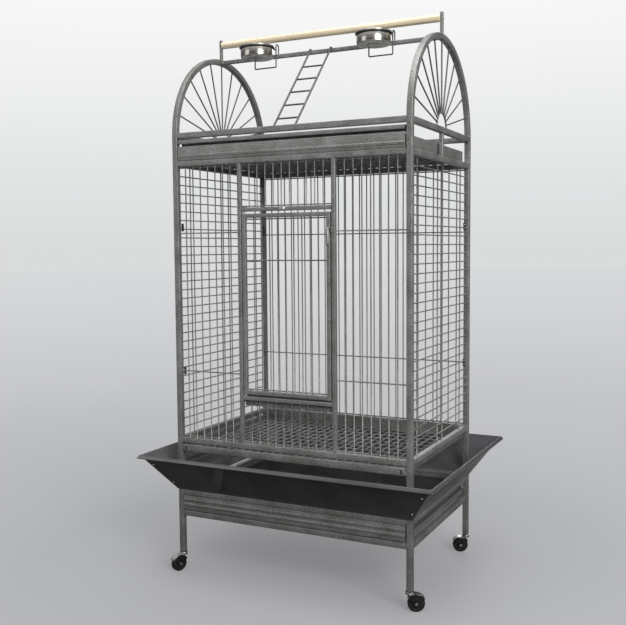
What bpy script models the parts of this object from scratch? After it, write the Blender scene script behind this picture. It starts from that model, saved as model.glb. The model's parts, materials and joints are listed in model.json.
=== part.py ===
"""Play-top parrot cage on swivel casters: stand, seed skirt, barred body, and an arched play-top.

Metres, +Z up, front towards -Y. The origin is on the floor, under the middle of the cage.
"""

import math

import bmesh
import bpy
from mathutils import Matrix, Vector

# Driving sizes.
CAGE_WIDTH = 0.813
CAGE_DEPTH = 0.580
TUBE = 0.018
DOOR_TUBE = 0.0127
TUBE_CORNER = 0.0014
WIRE = 0.004
WIRE_SIDES = 6
GRID_SIDES = 4
PIN_SIDES = 12
BOSS_SIDES = 16
SHEET = 0.0014
GAP = 0.0003
SLIDE_GAP = 0.0015

# Heights above the floor.
LEG_BOTTOM = 0.061
LOWER_RAIL = 0.186
UPPER_RAIL = 0.256
BODY_BOTTOM = 0.430
BODY_TOP = 1.341
PLAY_RAIL_TOP = 1.430
STIFFENER_HIGH = 1.111
STIFFENER_LOW = 0.666

# Front openings.
JAMB_X = 0.161
HEADER_BOTTOM = 1.1745
SILL_BOTTOM = 0.5863
DOOR_TOP = 1.168
DOOR_BOTTOM = 0.6043
DOOR_HINGE_GAP = 0.0025
DOOR_LATCH_GAP = 0.0045
DOOR_STIFFENER = 1.024
PIVOT_PIN = 0.008

# Door furniture.
LATCH_PIVOT = 1.1165
LATCH_PLATE_WIDTH = 0.0125
LATCH_RISE = 0.007
LATCH_DROP = 0.048
LATCH_KEEPER = 0.009
LEVER_LENGTH = 0.0430
LEVER_WIDTH = 0.0052
LEVER_THICKNESS = 0.0022
LEVER_BOSS = 0.0092
TURN_BUTTON_X = -0.0025
BUTTON_LENGTH = 0.017
BUTTON_WIDTH = 0.007
BUTTON_THICKNESS = 0.0028
BUTTON_BOSS = 0.011
BUTTON_KNOB = 0.009

# Bars in each section.
FRONT_BARS = 7
TRANSOM_BARS = 10
DOOR_BARS = 9
BACK_BARS = 27
SIDE_BARS = 30
SIDE_TIES = (-0.212, -0.024, 0.024, 0.212)
WELD = 0.0004
ROOF_ROD_END = 0.090

# Skirt.
SKIRT_OUT = 0.096
SKIRT_LIP_BOTTOM = 0.383
SKIRT_LIP_TOP = 0.400
SKIRT_FLANGE = 0.012
SKIRT_HEM = 0.004
SKIRT_NOTCH = 0.020

# Trays and grate.
RUNNER_FLANGE = 0.014
TRAY_RUNNER = 0.020
GRATE_RUNNER = 0.018
TRAY_BEADS = (-0.006, 0.011)
GRATE_PLATE = 0.024
GRATE_TOP = 0.425
GRATE_RODS = 2
TOP_TRAY_SIDE = 0.022
TOP_TRAY_HEIGHT = 0.0447
TOP_TRAY_WALL = 0.040
TOP_TRAY_LEDGE = 0.024
PULL_SLOT = 0.0075
PULL_LIP = 0.0125
FASCIA_BEAD = 0.014
BEAD = 0.0022
BEAD_SPAN = 0.010

# Play-top.
FAN_RODS = 11
HUB_RADIUS = 0.045
HUB_SINK = 0.001
ARCH_STEPS = 18
HUB_STEPS = 8
TOP_BAR = 0.0127
PERCH_DIAMETER = 0.021
PERCH_HEIGHT = 1.7605
UPRIGHT = 0.0095
UPRIGHT_TOP = 1.7785
LADDER_X = -0.014
LADDER_WIDTH = 0.074
LADDER_ROD = 0.005
LADDER_RUNGS = 5
LADDER_FIRST = 0.196
LADDER_PITCH = 0.169
LADDER_FOOT = 0.008
HOOK_CORNER = 0.004
BOWL_X = (-0.2175, 0.1995)
BOWL_RADIUS = 0.054
BOWL_LIP = 0.0035
BOWL_RIM_EDGE = 0.002
BOWL_RIM_FOLD = 0.0025
BOWL_WALL = 0.0012
BOWL_CORNER = 0.012
BOWL_BENDS = 2
BOWL_HEIGHT = 0.048
BOWL_RIM = 1.7265
BOWL_OUT = 0.065
BOWL_STEPS = 20
HANGER_WIRE = 0.0036
HANGER_BEND = 0.005
HANGER_FIT = 0.0006
HANGER_SPREAD = 0.0405
HANGER_BOTTOM = 1.671
HOOK_TOP = 1.741

# Casters.
WHEEL_RADIUS = 0.0255
WHEEL_WIDTH = 0.018
TREAD = 0.002
AXLE = 0.006
AXLE_END = 0.0012
TRAIL = 0.018
CHEEK = 0.0022
CHEEK_GAP = 0.001
HOOD_GAP = 0.0035
WHEEL_GAP = 0.0015
HOOD_CUT = 0.005
COLLAR = 0.027
COLLAR_HEIGHT = 0.009
NECK_DROP = 0.0035
NECK_RISE = 0.002
CASTER_TURNS = {"front_left": -115.0, "front_right": 26.0, "back_left": 110.0, "back_right": 206.0}

HALF_W = CAGE_WIDTH / 2
HALF_D = CAGE_DEPTH / 2
POST_X = HALF_W - TUBE / 2
POST_Y = HALF_D - TUBE / 2
FRONT_Y = -POST_Y
INNER_X = HALF_W - TUBE
INNER_Y = HALF_D - TUBE
JAMB_INNER = JAMB_X - DOOR_TUBE / 2
DOOR_Y = -HALF_D + DOOR_TUBE / 2
ARCH_CENTRE = PLAY_RAIL_TOP - TUBE / 2
ARCH_RADIUS = POST_Y
BAR_HEIGHT = ARCH_CENTRE + ARCH_RADIUS
CROSSED = WIRE - WELD
BESIDE = WIRE + GAP
X_AXIS = Vector((1, 0, 0))
Y_AXIS = Vector((0, 1, 0))
Z_AXIS = Vector((0, 0, 1))


def make_material(name, colour, roughness, metallic):
    material = bpy.data.materials.new(name)
    material.use_nodes = True
    shader = material.node_tree.nodes["Principled BSDF"]
    shader.inputs["Base Color"].default_value = (*colour, 1.0)
    shader.inputs["Roughness"].default_value = roughness
    shader.inputs["Metallic"].default_value = metallic
    material.diffuse_color = (*colour, 1.0)
    return material


def make_object(name, mesh, material=None, origin=(0, 0, 0)):
    """Turns a bmesh made in world space into an object whose origin is at the given point."""
    bmesh.ops.recalc_face_normals(mesh, faces=mesh.faces)
    bmesh.ops.translate(mesh, verts=mesh.verts, vec=-Vector(origin))
    data = bpy.data.meshes.new(name)
    mesh.to_mesh(data)
    mesh.free()
    made = bpy.data.objects.new(name, data)
    made.location = origin
    bpy.context.scene.collection.objects.link(made)
    if material:
        data.materials.append(material)
    return made


def helper(mesh):
    """An object that only takes part in another's Boolean."""
    made = make_object("helper", mesh)
    made.hide_render = True
    made.display_type = "WIRE"
    return made


def combine(target, tools, operation="UNION"):
    """Joins or cuts the target with the tools, then drops the tools."""
    for tool in tools:
        modifier = target.modifiers.new("combine", "BOOLEAN")
        modifier.operation = operation
        modifier.solver = "EXACT"
        modifier.object = tool
    bpy.context.view_layer.update()
    graph = bpy.context.evaluated_depsgraph_get()
    data = bpy.data.meshes.new_from_object(target.evaluated_get(graph))
    target.modifiers.clear()
    old = target.data
    target.data = data
    bpy.data.meshes.remove(old)
    for tool in tools:
        bpy.data.objects.remove(tool)
    return target


def smooth(made, degrees=40):
    made.data.shade_smooth()
    made.data.set_sharp_from_angle(angle=math.radians(degrees))
    return made


def facing_frame(along, facing):
    """A rotation whose Z runs along a rod and whose X is the direction that one of its flats faces."""
    front = (facing - along * facing.dot(along)).normalized()
    side = along.cross(front)
    return Matrix((front, side, along)).transposed().to_4x4()


def add_rod(mesh, start, end, diameter, sides=WIRE_SIDES, facing=None):
    """A round rod with flat ends. Its width is measured over two flats, one of which faces as asked."""
    start, end = Vector(start), Vector(end)
    along = (end - start).normalized()
    facing = facing or (X_AXIS if abs(along.x) < 0.9 else Z_AXIS)
    turn = Matrix.Rotation(math.pi / sides - math.pi / 2, 4, "Z")
    place = Matrix.Translation((start + end) / 2) @ facing_frame(along, facing) @ turn
    radius = diameter / 2 / math.cos(math.pi / sides)
    bmesh.ops.create_cone(
        mesh, cap_ends=True, segments=sides, radius1=radius, radius2=radius,
        depth=(end - start).length, matrix=place,
    )


def add_block(mesh, low, high):
    low, high = Vector(low), Vector(high)
    size = high - low
    place = Matrix.Translation((low + high) / 2) @ Matrix.Diagonal((*size, 1.0))
    return bmesh.ops.create_cube(mesh, size=1.0, matrix=place)["verts"]


def add_tube(mesh, start, end, width, corner=TUBE_CORNER):
    """A square tube along one axis, with its four long corners broken."""
    start, end = Vector(start), Vector(end)
    along = (end - start).normalized()
    half = Vector((1, 1, 1)) * width / 2
    for k in range(3):
        if abs(along[k]) > 0.5:
            half[k] = 0.0
    low = Vector(map(min, start, end)) - half
    high = Vector(map(max, start, end)) + half
    verts = add_block(mesh, low, high)
    edges = {edge for vert in verts for edge in vert.link_edges}
    long_edges = [e for e in edges if abs((e.verts[0].co - e.verts[1].co).normalized().dot(along)) > 0.9]
    bmesh.ops.bevel(mesh, geom=long_edges, offset=corner, segments=1, affect="EDGES", profile=0.5)


def add_extrusion(mesh, outline, move):
    """A closed outline of points, swept along a vector."""
    face = mesh.faces.new([mesh.verts.new(point) for point in outline])
    swept = bmesh.ops.extrude_face_region(mesh, geom=[face])
    verts = [item for item in swept["geom"] if isinstance(item, bmesh.types.BMVert)]
    bmesh.ops.translate(mesh, verts=verts, vec=move)


def tube_object(name, start, end, width, material):
    mesh = bmesh.new()
    add_tube(mesh, start, end, width)
    return make_object(name, mesh, material)


def tube_helper(start, end, width):
    mesh = bmesh.new()
    add_tube(mesh, start, end, width)
    return helper(mesh)


def rods_helper(runs, facing, diameter=WIRE, sides=WIRE_SIDES):
    mesh = bmesh.new()
    for start, end in runs:
        add_rod(mesh, start, end, diameter, sides, facing)
    return helper(mesh)


def spaced(low, high, count):
    """Centres of count bars that leave equal gaps between low and high."""
    return [low + (high - low) * (k + 1) / (count + 1) for k in range(count)]


def swept_wire(points, diameter, closed=False, resolution=1):
    """A helper mesh of round wire bent along the points."""
    curve = bpy.data.curves.new("wire", "CURVE")
    curve.dimensions = "3D"
    curve.bevel_depth = diameter / 2
    curve.bevel_resolution = resolution
    curve.use_fill_caps = True
    spline = curve.splines.new("POLY")
    spline.points.add(len(points) - 1)
    for point, place in zip(spline.points, points, strict=True):
        point.co = (*place, 1.0)
    spline.use_cyclic_u = closed
    source = bpy.data.objects.new("wire", curve)
    bpy.context.scene.collection.objects.link(source)
    bpy.context.view_layer.update()
    graph = bpy.context.evaluated_depsgraph_get()
    data = bpy.data.meshes.new_from_object(source.evaluated_get(graph))
    mesh = bmesh.new()
    mesh.from_mesh(data)
    bmesh.ops.remove_doubles(mesh, verts=mesh.verts, dist=1e-6)
    bpy.data.objects.remove(source)
    bpy.data.curves.remove(curve)
    bpy.data.meshes.remove(data)
    return helper(mesh)


def arc(centre, radius, start, end, steps, across, up):
    """Points on a circular arc; angles in degrees from the across direction towards up."""
    points = []
    for k in range(steps + 1):
        angle = math.radians(start + (end - start) * k / steps)
        points.append(Vector(centre) + across * (radius * math.cos(angle)) + up * (radius * math.sin(angle)))
    return points


def build_stand(steel):
    """Four legs with upper and lower rails between them."""
    for end, y in (("front", -POST_Y), ("back", POST_Y)):
        for side, x in (("left", -POST_X), ("right", POST_X)):
            tube_object(f"leg_{end}_{side}", (x, y, LEG_BOTTOM), (x, y, BODY_BOTTOM - GAP), TUBE, steel)
    reach_x = INNER_X - GAP
    reach_y = INNER_Y - GAP
    for level, bottom in (("lower", LOWER_RAIL), ("upper", UPPER_RAIL)):
        z = bottom + TUBE / 2
        tube_object(f"rail_{level}_front", (-reach_x, -POST_Y, z), (reach_x, -POST_Y, z), TUBE, steel)
        tube_object(f"rail_{level}_back", (-reach_x, POST_Y, z), (reach_x, POST_Y, z), TUBE, steel)
        tube_object(f"rail_{level}_left", (-POST_X, -reach_y, z), (-POST_X, reach_y, z), TUBE, steel)
        tube_object(f"rail_{level}_right", (POST_X, -reach_y, z), (POST_X, reach_y, z), TUBE, steel)


def build_runner(name, side, ledge_top, height, steel):
    """An angle that a tray or grate slides on, welded to the inner faces of the legs."""
    outer = side * (INNER_X - GAP)
    inner = outer - side * RUNNER_FLANGE
    web = outer - side * SHEET
    bottom = ledge_top - SHEET
    top = bottom + height
    y = -HALF_D + 2 * SHEET + SLIDE_GAP
    outline = [
        (outer, y, bottom), (inner, y, bottom), (inner, y, ledge_top),
        (web, y, ledge_top), (web, y, top), (outer, y, top),
    ]
    mesh = bmesh.new()
    add_extrusion(mesh, outline, Vector((0, -2 * y, 0)))
    return make_object(name, mesh, steel)


def open_pan(half_width, front, back, bottom, wall):
    """A sheet pan: a block whose top is inset and pushed down."""
    mesh = bmesh.new()
    verts = add_block(mesh, (-half_width, front, bottom), (half_width, back, bottom + wall))
    faces = {face for vert in verts for face in vert.link_faces}
    top = [face for face in faces if face.calc_center_median().z > bottom + wall * 0.99]
    bmesh.ops.inset_region(mesh, faces=top, thickness=SHEET, use_even_offset=True)
    pushed = bmesh.ops.extrude_face_region(mesh, geom=top)
    bmesh.ops.delete(mesh, geom=top, context="FACES_ONLY")
    verts = [item for item in pushed["geom"] if isinstance(item, bmesh.types.BMVert)]
    bmesh.ops.translate(mesh, verts=verts, vec=(0, 0, SHEET - wall))
    return mesh


def beaded_plate(half_width, face, bottom, top, bead_centres):
    """A front plate with pressed beads along it; face is its front plane in Y."""
    outline = [(-half_width, face + SHEET * 2, bottom), (-half_width, face, bottom)]
    for z in bead_centres:
        outline.append((-half_width, face, z - BEAD_SPAN / 2))
        outline.append((-half_width, face - BEAD, z - BEAD_SPAN / 4))
        outline.append((-half_width, face - BEAD, z + BEAD_SPAN / 4))
        outline.append((-half_width, face, z + BEAD_SPAN / 2))
    outline.append((-half_width, face, top))
    outline.append((-half_width, face + SHEET * 2, top))
    mesh = bmesh.new()
    add_extrusion(mesh, outline, Vector((2 * half_width, 0, 0)))
    return helper(mesh)


def build_bottom_tray(steel):
    ledge = LOWER_RAIL + TUBE + GAP + SHEET
    for side_name, side in (("left", -1), ("right", 1)):
        build_runner(f"tray_runner_{side_name}", side, ledge, TRAY_RUNNER, steel)
    bottom = ledge + GAP
    half = INNER_X - GAP - SHEET - SLIDE_GAP
    wall = UPPER_RAIL - SLIDE_GAP - bottom
    mesh = open_pan(half, -HALF_D + SHEET, INNER_Y - SLIDE_GAP, bottom, wall)
    tray = make_object("bottom_tray", mesh, steel)
    plate_bottom = LOWER_RAIL + TUBE + SLIDE_GAP
    plate_top = UPPER_RAIL - SLIDE_GAP
    middle = (plate_bottom + plate_top) / 2
    beads = [middle + offset for offset in TRAY_BEADS]
    plate = beaded_plate(INNER_X - 2 * SLIDE_GAP, -HALF_D, plate_bottom, plate_top, beads)
    combine(tray, [plate])


def build_floor_grate(steel):
    """Wires from front to back, cross rods under them, and a front plate to pull it by."""
    ledge = GRATE_TOP - GRATE_PLATE + WIRE
    for side_name, side in (("left", -1), ("right", 1)):
        build_runner(f"grate_runner_{side_name}", side, ledge, GRATE_RUNNER, steel)
    half = INNER_X - GAP - SHEET - SLIDE_GAP
    back = INNER_Y - SLIDE_GAP
    rod_z = ledge + GAP + WIRE / 2
    wire_z = rod_z + CROSSED
    plate_half = INNER_X - 3 * SLIDE_GAP
    mesh = bmesh.new()
    plate_bottom = GRATE_TOP - GRATE_PLATE
    add_block(mesh, (-plate_half, -HALF_D, plate_bottom), (plate_half, -HALF_D + 2 * SHEET, GRATE_TOP))
    grate = make_object("floor_grate", mesh, steel)
    wires = [((x, -HALF_D + SHEET, wire_z), (x, back, wire_z)) for x in spaced(-half, half, BACK_BARS)]
    rods = [((-half, y, rod_z), (half, y, rod_z)) for y in spaced(-HALF_D, back, GRATE_RODS)]
    parts = [rods_helper(run, Z_AXIS, WIRE, GRID_SIDES) for run in (wires, rods)]
    return smooth(combine(grate, parts))


def build_skirt(sheet):
    """Four mitred panels: a flange on the stand's upper rail, a slope outwards, and an upright lip."""
    low = UPPER_RAIL + TUBE + GAP
    slope = math.hypot(SKIRT_OUT, SKIRT_LIP_BOTTOM - low)
    lean = SHEET * SKIRT_OUT / slope
    rise = SHEET * (SKIRT_LIP_BOTTOM - low) / slope
    # Each point is (how far outside the cage, height).
    section = [
        (-SKIRT_FLANGE, low), (0.0, low), (SKIRT_OUT, SKIRT_LIP_BOTTOM), (SKIRT_OUT, SKIRT_LIP_TOP),
        (SKIRT_OUT - 2 * SHEET, SKIRT_LIP_TOP), (SKIRT_OUT - 2 * SHEET, SKIRT_LIP_TOP - SKIRT_HEM),
        (SKIRT_OUT - SHEET, SKIRT_LIP_TOP - SKIRT_HEM), (SKIRT_OUT - SHEET, SKIRT_LIP_BOTTOM + lean / 2),
        (-rise / 2, low + SHEET), (-SKIRT_FLANGE, low + SHEET),
    ]
    panels = (
        ("front", -Y_AXIS, X_AXIS, HALF_D, HALF_W), ("back", Y_AXIS, -X_AXIS, HALF_D, HALF_W),
        ("left", -X_AXIS, -Y_AXIS, HALF_W, HALF_D), ("right", X_AXIS, Y_AXIS, HALF_W, HALF_D),
    )
    for name, out, along, distance, half_length in panels:
        mesh = bmesh.new()
        rings = []
        for end in (-1, 1):
            ring = []
            for reach, z in section:
                place = out * (distance + reach) + along * (end * (half_length + reach - GAP)) + Z_AXIS * z
                ring.append(mesh.verts.new(place))
            rings.append(ring)
        mesh.faces.new(rings[0])
        mesh.faces.new(list(reversed(rings[1])))
        bmesh.ops.bridge_loops(mesh, edges=[e for r in rings for e in {e for v in r for e in v.link_edges}])
        panel = make_object(f"skirt_{name}", mesh, sheet)
        notches = bmesh.new()
        for end in (-1, 1):
            post = out * (distance - TUBE / 2) + along * (end * (half_length - TUBE / 2)) + Z_AXIS * low
            reach = Vector((TUBE / 2 + GAP, TUBE / 2 + GAP, SKIRT_NOTCH))
            add_block(notches, post - reach, post + reach)
        combine(panel, [helper(notches)], "DIFFERENCE")


def build_side(name, side, steel):
    """Posts, rails and level bars of one side, with upright ties on the inside."""
    x = side * POST_X
    tie_x = x - side * BESIDE
    low, high = BODY_BOTTOM, BODY_TOP
    panel = tube_object(f"side_panel_{name}", (x, -POST_Y, low), (x, -POST_Y, high), TUBE, steel)
    sink = TUBE / 2
    parts = [tube_helper((x, POST_Y, low), (x, POST_Y, high), TUBE)]
    for z in (low + TUBE / 2, high - TUBE / 2):
        parts.append(tube_helper((x, -INNER_Y - sink, z), (x, INNER_Y + sink, z), TUBE))
    levels = spaced(low + TUBE, high - TUBE, SIDE_BARS)
    parts.append(rods_helper([((x, -POST_Y, z), (x, POST_Y, z)) for z in levels], X_AXIS, WIRE, GRID_SIDES))
    ties = [((tie_x, y, low + TUBE / 2), (tie_x, y, high - TUBE / 2)) for y in SIDE_TIES]
    parts.append(rods_helper(ties, X_AXIS, WIRE, GRID_SIDES))
    return smooth(combine(panel, parts))


def wire_panel(name, rails, uprights, bars, ties, steel, sides=WIRE_SIDES):
    """A flat welded panel: level rails, upright tubes, upright bars, and tie rods behind them."""
    first, *rest = rails
    panel = tube_object(name, first[0], first[1], first[2], steel)
    parts = [tube_helper(*item) for item in rest + uprights]
    parts.append(rods_helper(bars, Y_AXIS, WIRE, sides))
    if ties:
        parts.append(rods_helper(ties, Y_AXIS, WIRE, sides))
    return smooth(combine(panel, parts))


def build_back(steel):
    reach = INNER_X - GAP
    y = POST_Y
    low = BODY_BOTTOM + TUBE / 2
    high = BODY_TOP - TUBE / 2
    rails = [((-reach, y, z), (reach, y, z), TUBE) for z in (low, high)]
    bars = [((x, y, low), (x, y, high)) for x in spaced(-INNER_X, INNER_X, BACK_BARS)]
    tie_y = y - CROSSED
    ties = [((-reach, tie_y, z), (reach, tie_y, z)) for z in (STIFFENER_LOW, STIFFENER_HIGH)]
    return wire_panel("back_panel", rails, [], bars, ties, steel, GRID_SIDES)


def build_front(steel):
    """Left and right panels with the door jambs, the transom over the door, and the sill panel."""
    low = BODY_BOTTOM + TUBE / 2
    high = BODY_TOP - TUBE / 2
    tie_y = DOOR_Y + BESIDE
    for name, side in (("left", -1), ("right", 1)):
        outer = side * (INNER_X - GAP)
        inner = side * JAMB_INNER
        rails = [((outer, FRONT_Y, z), (inner, FRONT_Y, z), TUBE) for z in (low, high)]
        jamb = ((side * JAMB_X, DOOR_Y, low), (side * JAMB_X, DOOR_Y, high), DOOR_TUBE)
        spots = spaced(side * INNER_X, side * (JAMB_X + DOOR_TUBE / 2), FRONT_BARS)
        bars = [((x, DOOR_Y, low), (x, DOOR_Y, high)) for x in spots]
        ties = [((outer, tie_y, z), (side * JAMB_X, tie_y, z)) for z in (STIFFENER_LOW, STIFFENER_HIGH)]
        wire_panel(f"front_panel_{name}", rails, [jamb], bars, ties, steel)
    reach = JAMB_INNER - GAP
    spots = spaced(-JAMB_INNER, JAMB_INNER, TRANSOM_BARS)
    header = HEADER_BOTTOM + DOOR_TUBE / 2
    sill = SILL_BOTTOM + DOOR_TUBE / 2
    top = ((-reach, FRONT_Y, high), (reach, FRONT_Y, high), TUBE)
    header_tube = ((-reach, DOOR_Y, header), (reach, DOOR_Y, header), DOOR_TUBE)
    bars = [((x, DOOR_Y, header), (x, DOOR_Y, high)) for x in spots]
    wire_panel("transom_panel", [top, header_tube], [], bars, [], steel)
    base = ((-reach, FRONT_Y, low), (reach, FRONT_Y, low), TUBE)
    sill_tube = ((-reach, DOOR_Y, sill), (reach, DOOR_Y, sill), DOOR_TUBE)
    bars = [((x, DOOR_Y, low), (x, DOOR_Y, sill)) for x in spots]
    wire_panel("sill_panel", [base, sill_tube], [], bars, [], steel)


def build_roof(steel):
    """Bars from front to back, with cross rods on them that the top tray slides on."""
    rod_z = BODY_TOP - GAP - WIRE / 2
    bar_z = rod_z - CROSSED
    reach_x = INNER_X - GAP
    reach_y = INNER_Y - GAP
    rod_y = reach_y - ROOF_ROD_END
    mesh = bmesh.new()
    add_rod(mesh, (-reach_x, -rod_y, rod_z), (reach_x, -rod_y, rod_z), WIRE, GRID_SIDES, Z_AXIS)
    roof = make_object("roof_grille", mesh, steel)
    back_rod = [((-reach_x, rod_y, rod_z), (reach_x, rod_y, rod_z))]
    bars = [((x, -reach_y, bar_z), (x, reach_y, bar_z)) for x in spaced(-INNER_X, INNER_X, BACK_BARS)]
    parts = [rods_helper(run, Z_AXIS, WIRE, GRID_SIDES) for run in (bars, back_rod)]
    return smooth(combine(roof, parts))


def build_door(steel, bright):
    """The swinging door with its pivots, latch, keeper and the turn button over it."""
    left = -JAMB_INNER + DOOR_HINGE_GAP
    right = JAMB_INNER - DOOR_LATCH_GAP
    half = DOOR_TUBE / 2
    hinge_x = left + half
    latch_x = right - half
    y = DOOR_Y
    low, high = DOOR_BOTTOM + half, DOOR_TOP - half
    hinge = Vector((hinge_x, y, 0))
    mesh = bmesh.new()
    add_tube(mesh, (hinge_x, y, DOOR_BOTTOM), (hinge_x, y, DOOR_TOP), DOOR_TUBE)
    door = make_object("door", mesh, steel, hinge)
    parts = [tube_helper((latch_x, y, DOOR_BOTTOM), (latch_x, y, DOOR_TOP), DOOR_TUBE)]
    for z in (low, high):
        parts.append(tube_helper((hinge_x, y, z), (latch_x, y, z), DOOR_TUBE))
    spots = spaced(left + DOOR_TUBE, right - DOOR_TUBE, DOOR_BARS)
    parts.append(rods_helper([((x, y, low), (x, y, high)) for x in spots], Y_AXIS))
    tie_y = y + BESIDE
    parts.append(rods_helper([((hinge_x, tie_y, DOOR_STIFFENER), (latch_x, tie_y, DOOR_STIFFENER))], Y_AXIS))
    smooth(combine(door, parts))

    for name, bottom, top in (
        ("door_pivot_top", DOOR_TOP + GAP, HEADER_BOTTOM - GAP),
        ("door_pivot_bottom", SILL_BOTTOM + DOOR_TUBE + GAP, DOOR_BOTTOM - GAP),
    ):
        mesh = bmesh.new()
        add_rod(mesh, (hinge_x, y, bottom), (hinge_x, y, top), PIVOT_PIN, PIN_SIDES)
        smooth(make_object(name, mesh, steel))

    face = Vector((latch_x, -HALF_D - GAP, LATCH_PIVOT))
    build_latch(face, steel, bright)
    build_turn_button(Vector((TURN_BUTTON_X, -HALF_D - GAP, HEADER_BOTTOM + half)), bright)


def build_latch(face, steel, bright):
    """A plate on the door's stile, a lever that hangs from it, and a keeper on the jamb.

    The lever swings up to the right, and its bar then lies behind the keeper's lip.
    """
    mesh = bmesh.new()
    half = LATCH_PLATE_WIDTH / 2
    add_block(mesh, face + Vector((-half, -SHEET, -LATCH_DROP)), face + Vector((half, 0, LATCH_RISE)))
    make_object("latch_plate", mesh, steel)

    back = face - Y_AXIS * (SHEET + GAP)
    thick = Y_AXIS * LEVER_THICKNESS
    end = back - Z_AXIS * LEVER_LENGTH
    mesh = bmesh.new()
    add_rod(mesh, back, back - 2 * thick, LEVER_BOSS, BOSS_SIDES)
    lever = make_object("latch_lever", mesh, bright, back)
    bar = bmesh.new()
    add_block(bar, end - thick - X_AXIS * LEVER_WIDTH / 2, back + X_AXIS * LEVER_WIDTH / 2)
    tip = bmesh.new()
    add_rod(tip, end, end - thick, LEVER_WIDTH, PIN_SIDES)
    smooth(combine(lever, [helper(bar), helper(tip)]))

    x = JAMB_X - LATCH_KEEPER / 2
    slot_back = -HALF_D - GAP - SHEET
    slot_front = slot_back - GAP - LEVER_THICKNESS - SLIDE_GAP
    slot_top = LATCH_PIVOT + LEVER_WIDTH / 2 + SLIDE_GAP
    low = LATCH_PIVOT - LATCH_KEEPER
    mesh = bmesh.new()
    add_block(mesh, (x, slot_front - SHEET, low), (x + LATCH_KEEPER, -HALF_D - GAP, slot_top + SHEET))
    keeper = make_object("latch_keeper", mesh, steel)
    slot = bmesh.new()
    add_block(slot, (x - LATCH_KEEPER, slot_front, low - SHEET), (x + 2 * LATCH_KEEPER, slot_back, slot_top))
    combine(keeper, [helper(slot)], "DIFFERENCE")


def build_turn_button(pivot, bright):
    """A tongue on the header, turned aside here; turned down, it holds the top of the door shut."""
    mesh = bmesh.new()
    add_rod(mesh, pivot, pivot - Y_AXIS * BUTTON_THICKNESS, BUTTON_BOSS, BOSS_SIDES)
    button = make_object("turn_button", mesh, bright, pivot)
    tongue = bmesh.new()
    low = pivot + Vector((-BUTTON_LENGTH, -BUTTON_THICKNESS, -BUTTON_WIDTH / 2))
    add_block(tongue, low, pivot + Vector((0, 0, BUTTON_WIDTH / 2)))
    knob = bmesh.new()
    root = pivot - Y_AXIS * BUTTON_THICKNESS / 2
    add_rod(knob, root, pivot - Y_AXIS * BUTTON_KNOB, BUTTON_WIDTH, PIN_SIDES)
    return smooth(combine(button, [helper(tongue), helper(knob)]))


def build_arch(name, side, steel):
    """One end of the play-top: posts, a half-round arch, an upper rail, a mid post and a fan of rods."""
    x = side * POST_X
    foot = BODY_TOP + GAP
    arch = tube_object(f"arch_{name}", (x, -POST_Y, foot), (x, -POST_Y, ARCH_CENTRE), TUBE, steel)
    parts = [tube_helper((x, POST_Y, foot), (x, POST_Y, ARCH_CENTRE), TUBE)]

    mesh = bmesh.new()
    flat = TUBE / 2
    cut = flat - TUBE_CORNER
    corners = (
        (flat, -cut), (flat, cut), (cut, flat), (-cut, flat),
        (-flat, cut), (-flat, -cut), (-cut, -flat), (cut, -flat),
    )
    ring = [mesh.verts.new((x + u, ARCH_RADIUS + v, ARCH_CENTRE)) for u, v in corners]
    face = mesh.faces.new(ring)
    bmesh.ops.spin(
        mesh, geom=[face, *face.edges, *face.verts], cent=(x, 0, ARCH_CENTRE), axis=X_AXIS,
        angle=math.pi, steps=ARCH_STEPS, use_duplicate=False,
    )
    parts.append(helper(mesh))

    rail_z = ARCH_CENTRE
    parts.append(tube_helper((x, -POST_Y, rail_z), (x, POST_Y, rail_z), TUBE))
    parts.append(tube_helper((x, 0, foot), (x, 0, rail_z), DOOR_TUBE))

    centre = Vector((x, 0, PLAY_RAIL_TOP - HUB_SINK))
    hub = arc(centre, HUB_RADIUS, 0, 180, HUB_STEPS, Y_AXIS, Z_AXIS)
    parts.append(swept_wire(hub, LADDER_ROD))
    rods = []
    for k in range(FAN_RODS):
        angle = math.pi * (k + 1) / (FAN_RODS + 1)
        ray = Vector((0, math.cos(angle), math.sin(angle)))
        rods.append((centre + ray * HUB_RADIUS, Vector((x, 0, ARCH_CENTRE)) + ray * ARCH_RADIUS))
    parts.append(rods_helper(rods, X_AXIS, WIRE, GRID_SIDES))
    return smooth(combine(arch, parts))


def build_play_top(steel, wood):
    for name, side in (("left", -1), ("right", 1)):
        build_arch(name, side, steel)
    reach = INNER_X - GAP
    for name, y in (("front", -POST_Y), ("back", POST_Y)):
        tube_object(f"play_rail_{name}", (-reach, y, ARCH_CENTRE), (reach, y, ARCH_CENTRE), TUBE, steel)
    tube_object("top_bar", (-reach, 0, BAR_HEIGHT), (reach, 0, BAR_HEIGHT), TOP_BAR, steel)
    foot = BAR_HEIGHT + TUBE / 2 + GAP
    for name, x in (("left", -POST_X), ("right", POST_X)):
        tube_object(f"perch_upright_{name}", (x, 0, foot), (x, 0, UPRIGHT_TOP), UPRIGHT, steel)
    end = POST_X - UPRIGHT / 2 - GAP
    mesh = bmesh.new()
    add_rod(mesh, (-end, 0, PERCH_HEIGHT), (end, 0, PERCH_HEIGHT), PERCH_DIAMETER, 24)
    smooth(make_object("perch", mesh, wood))


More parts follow.
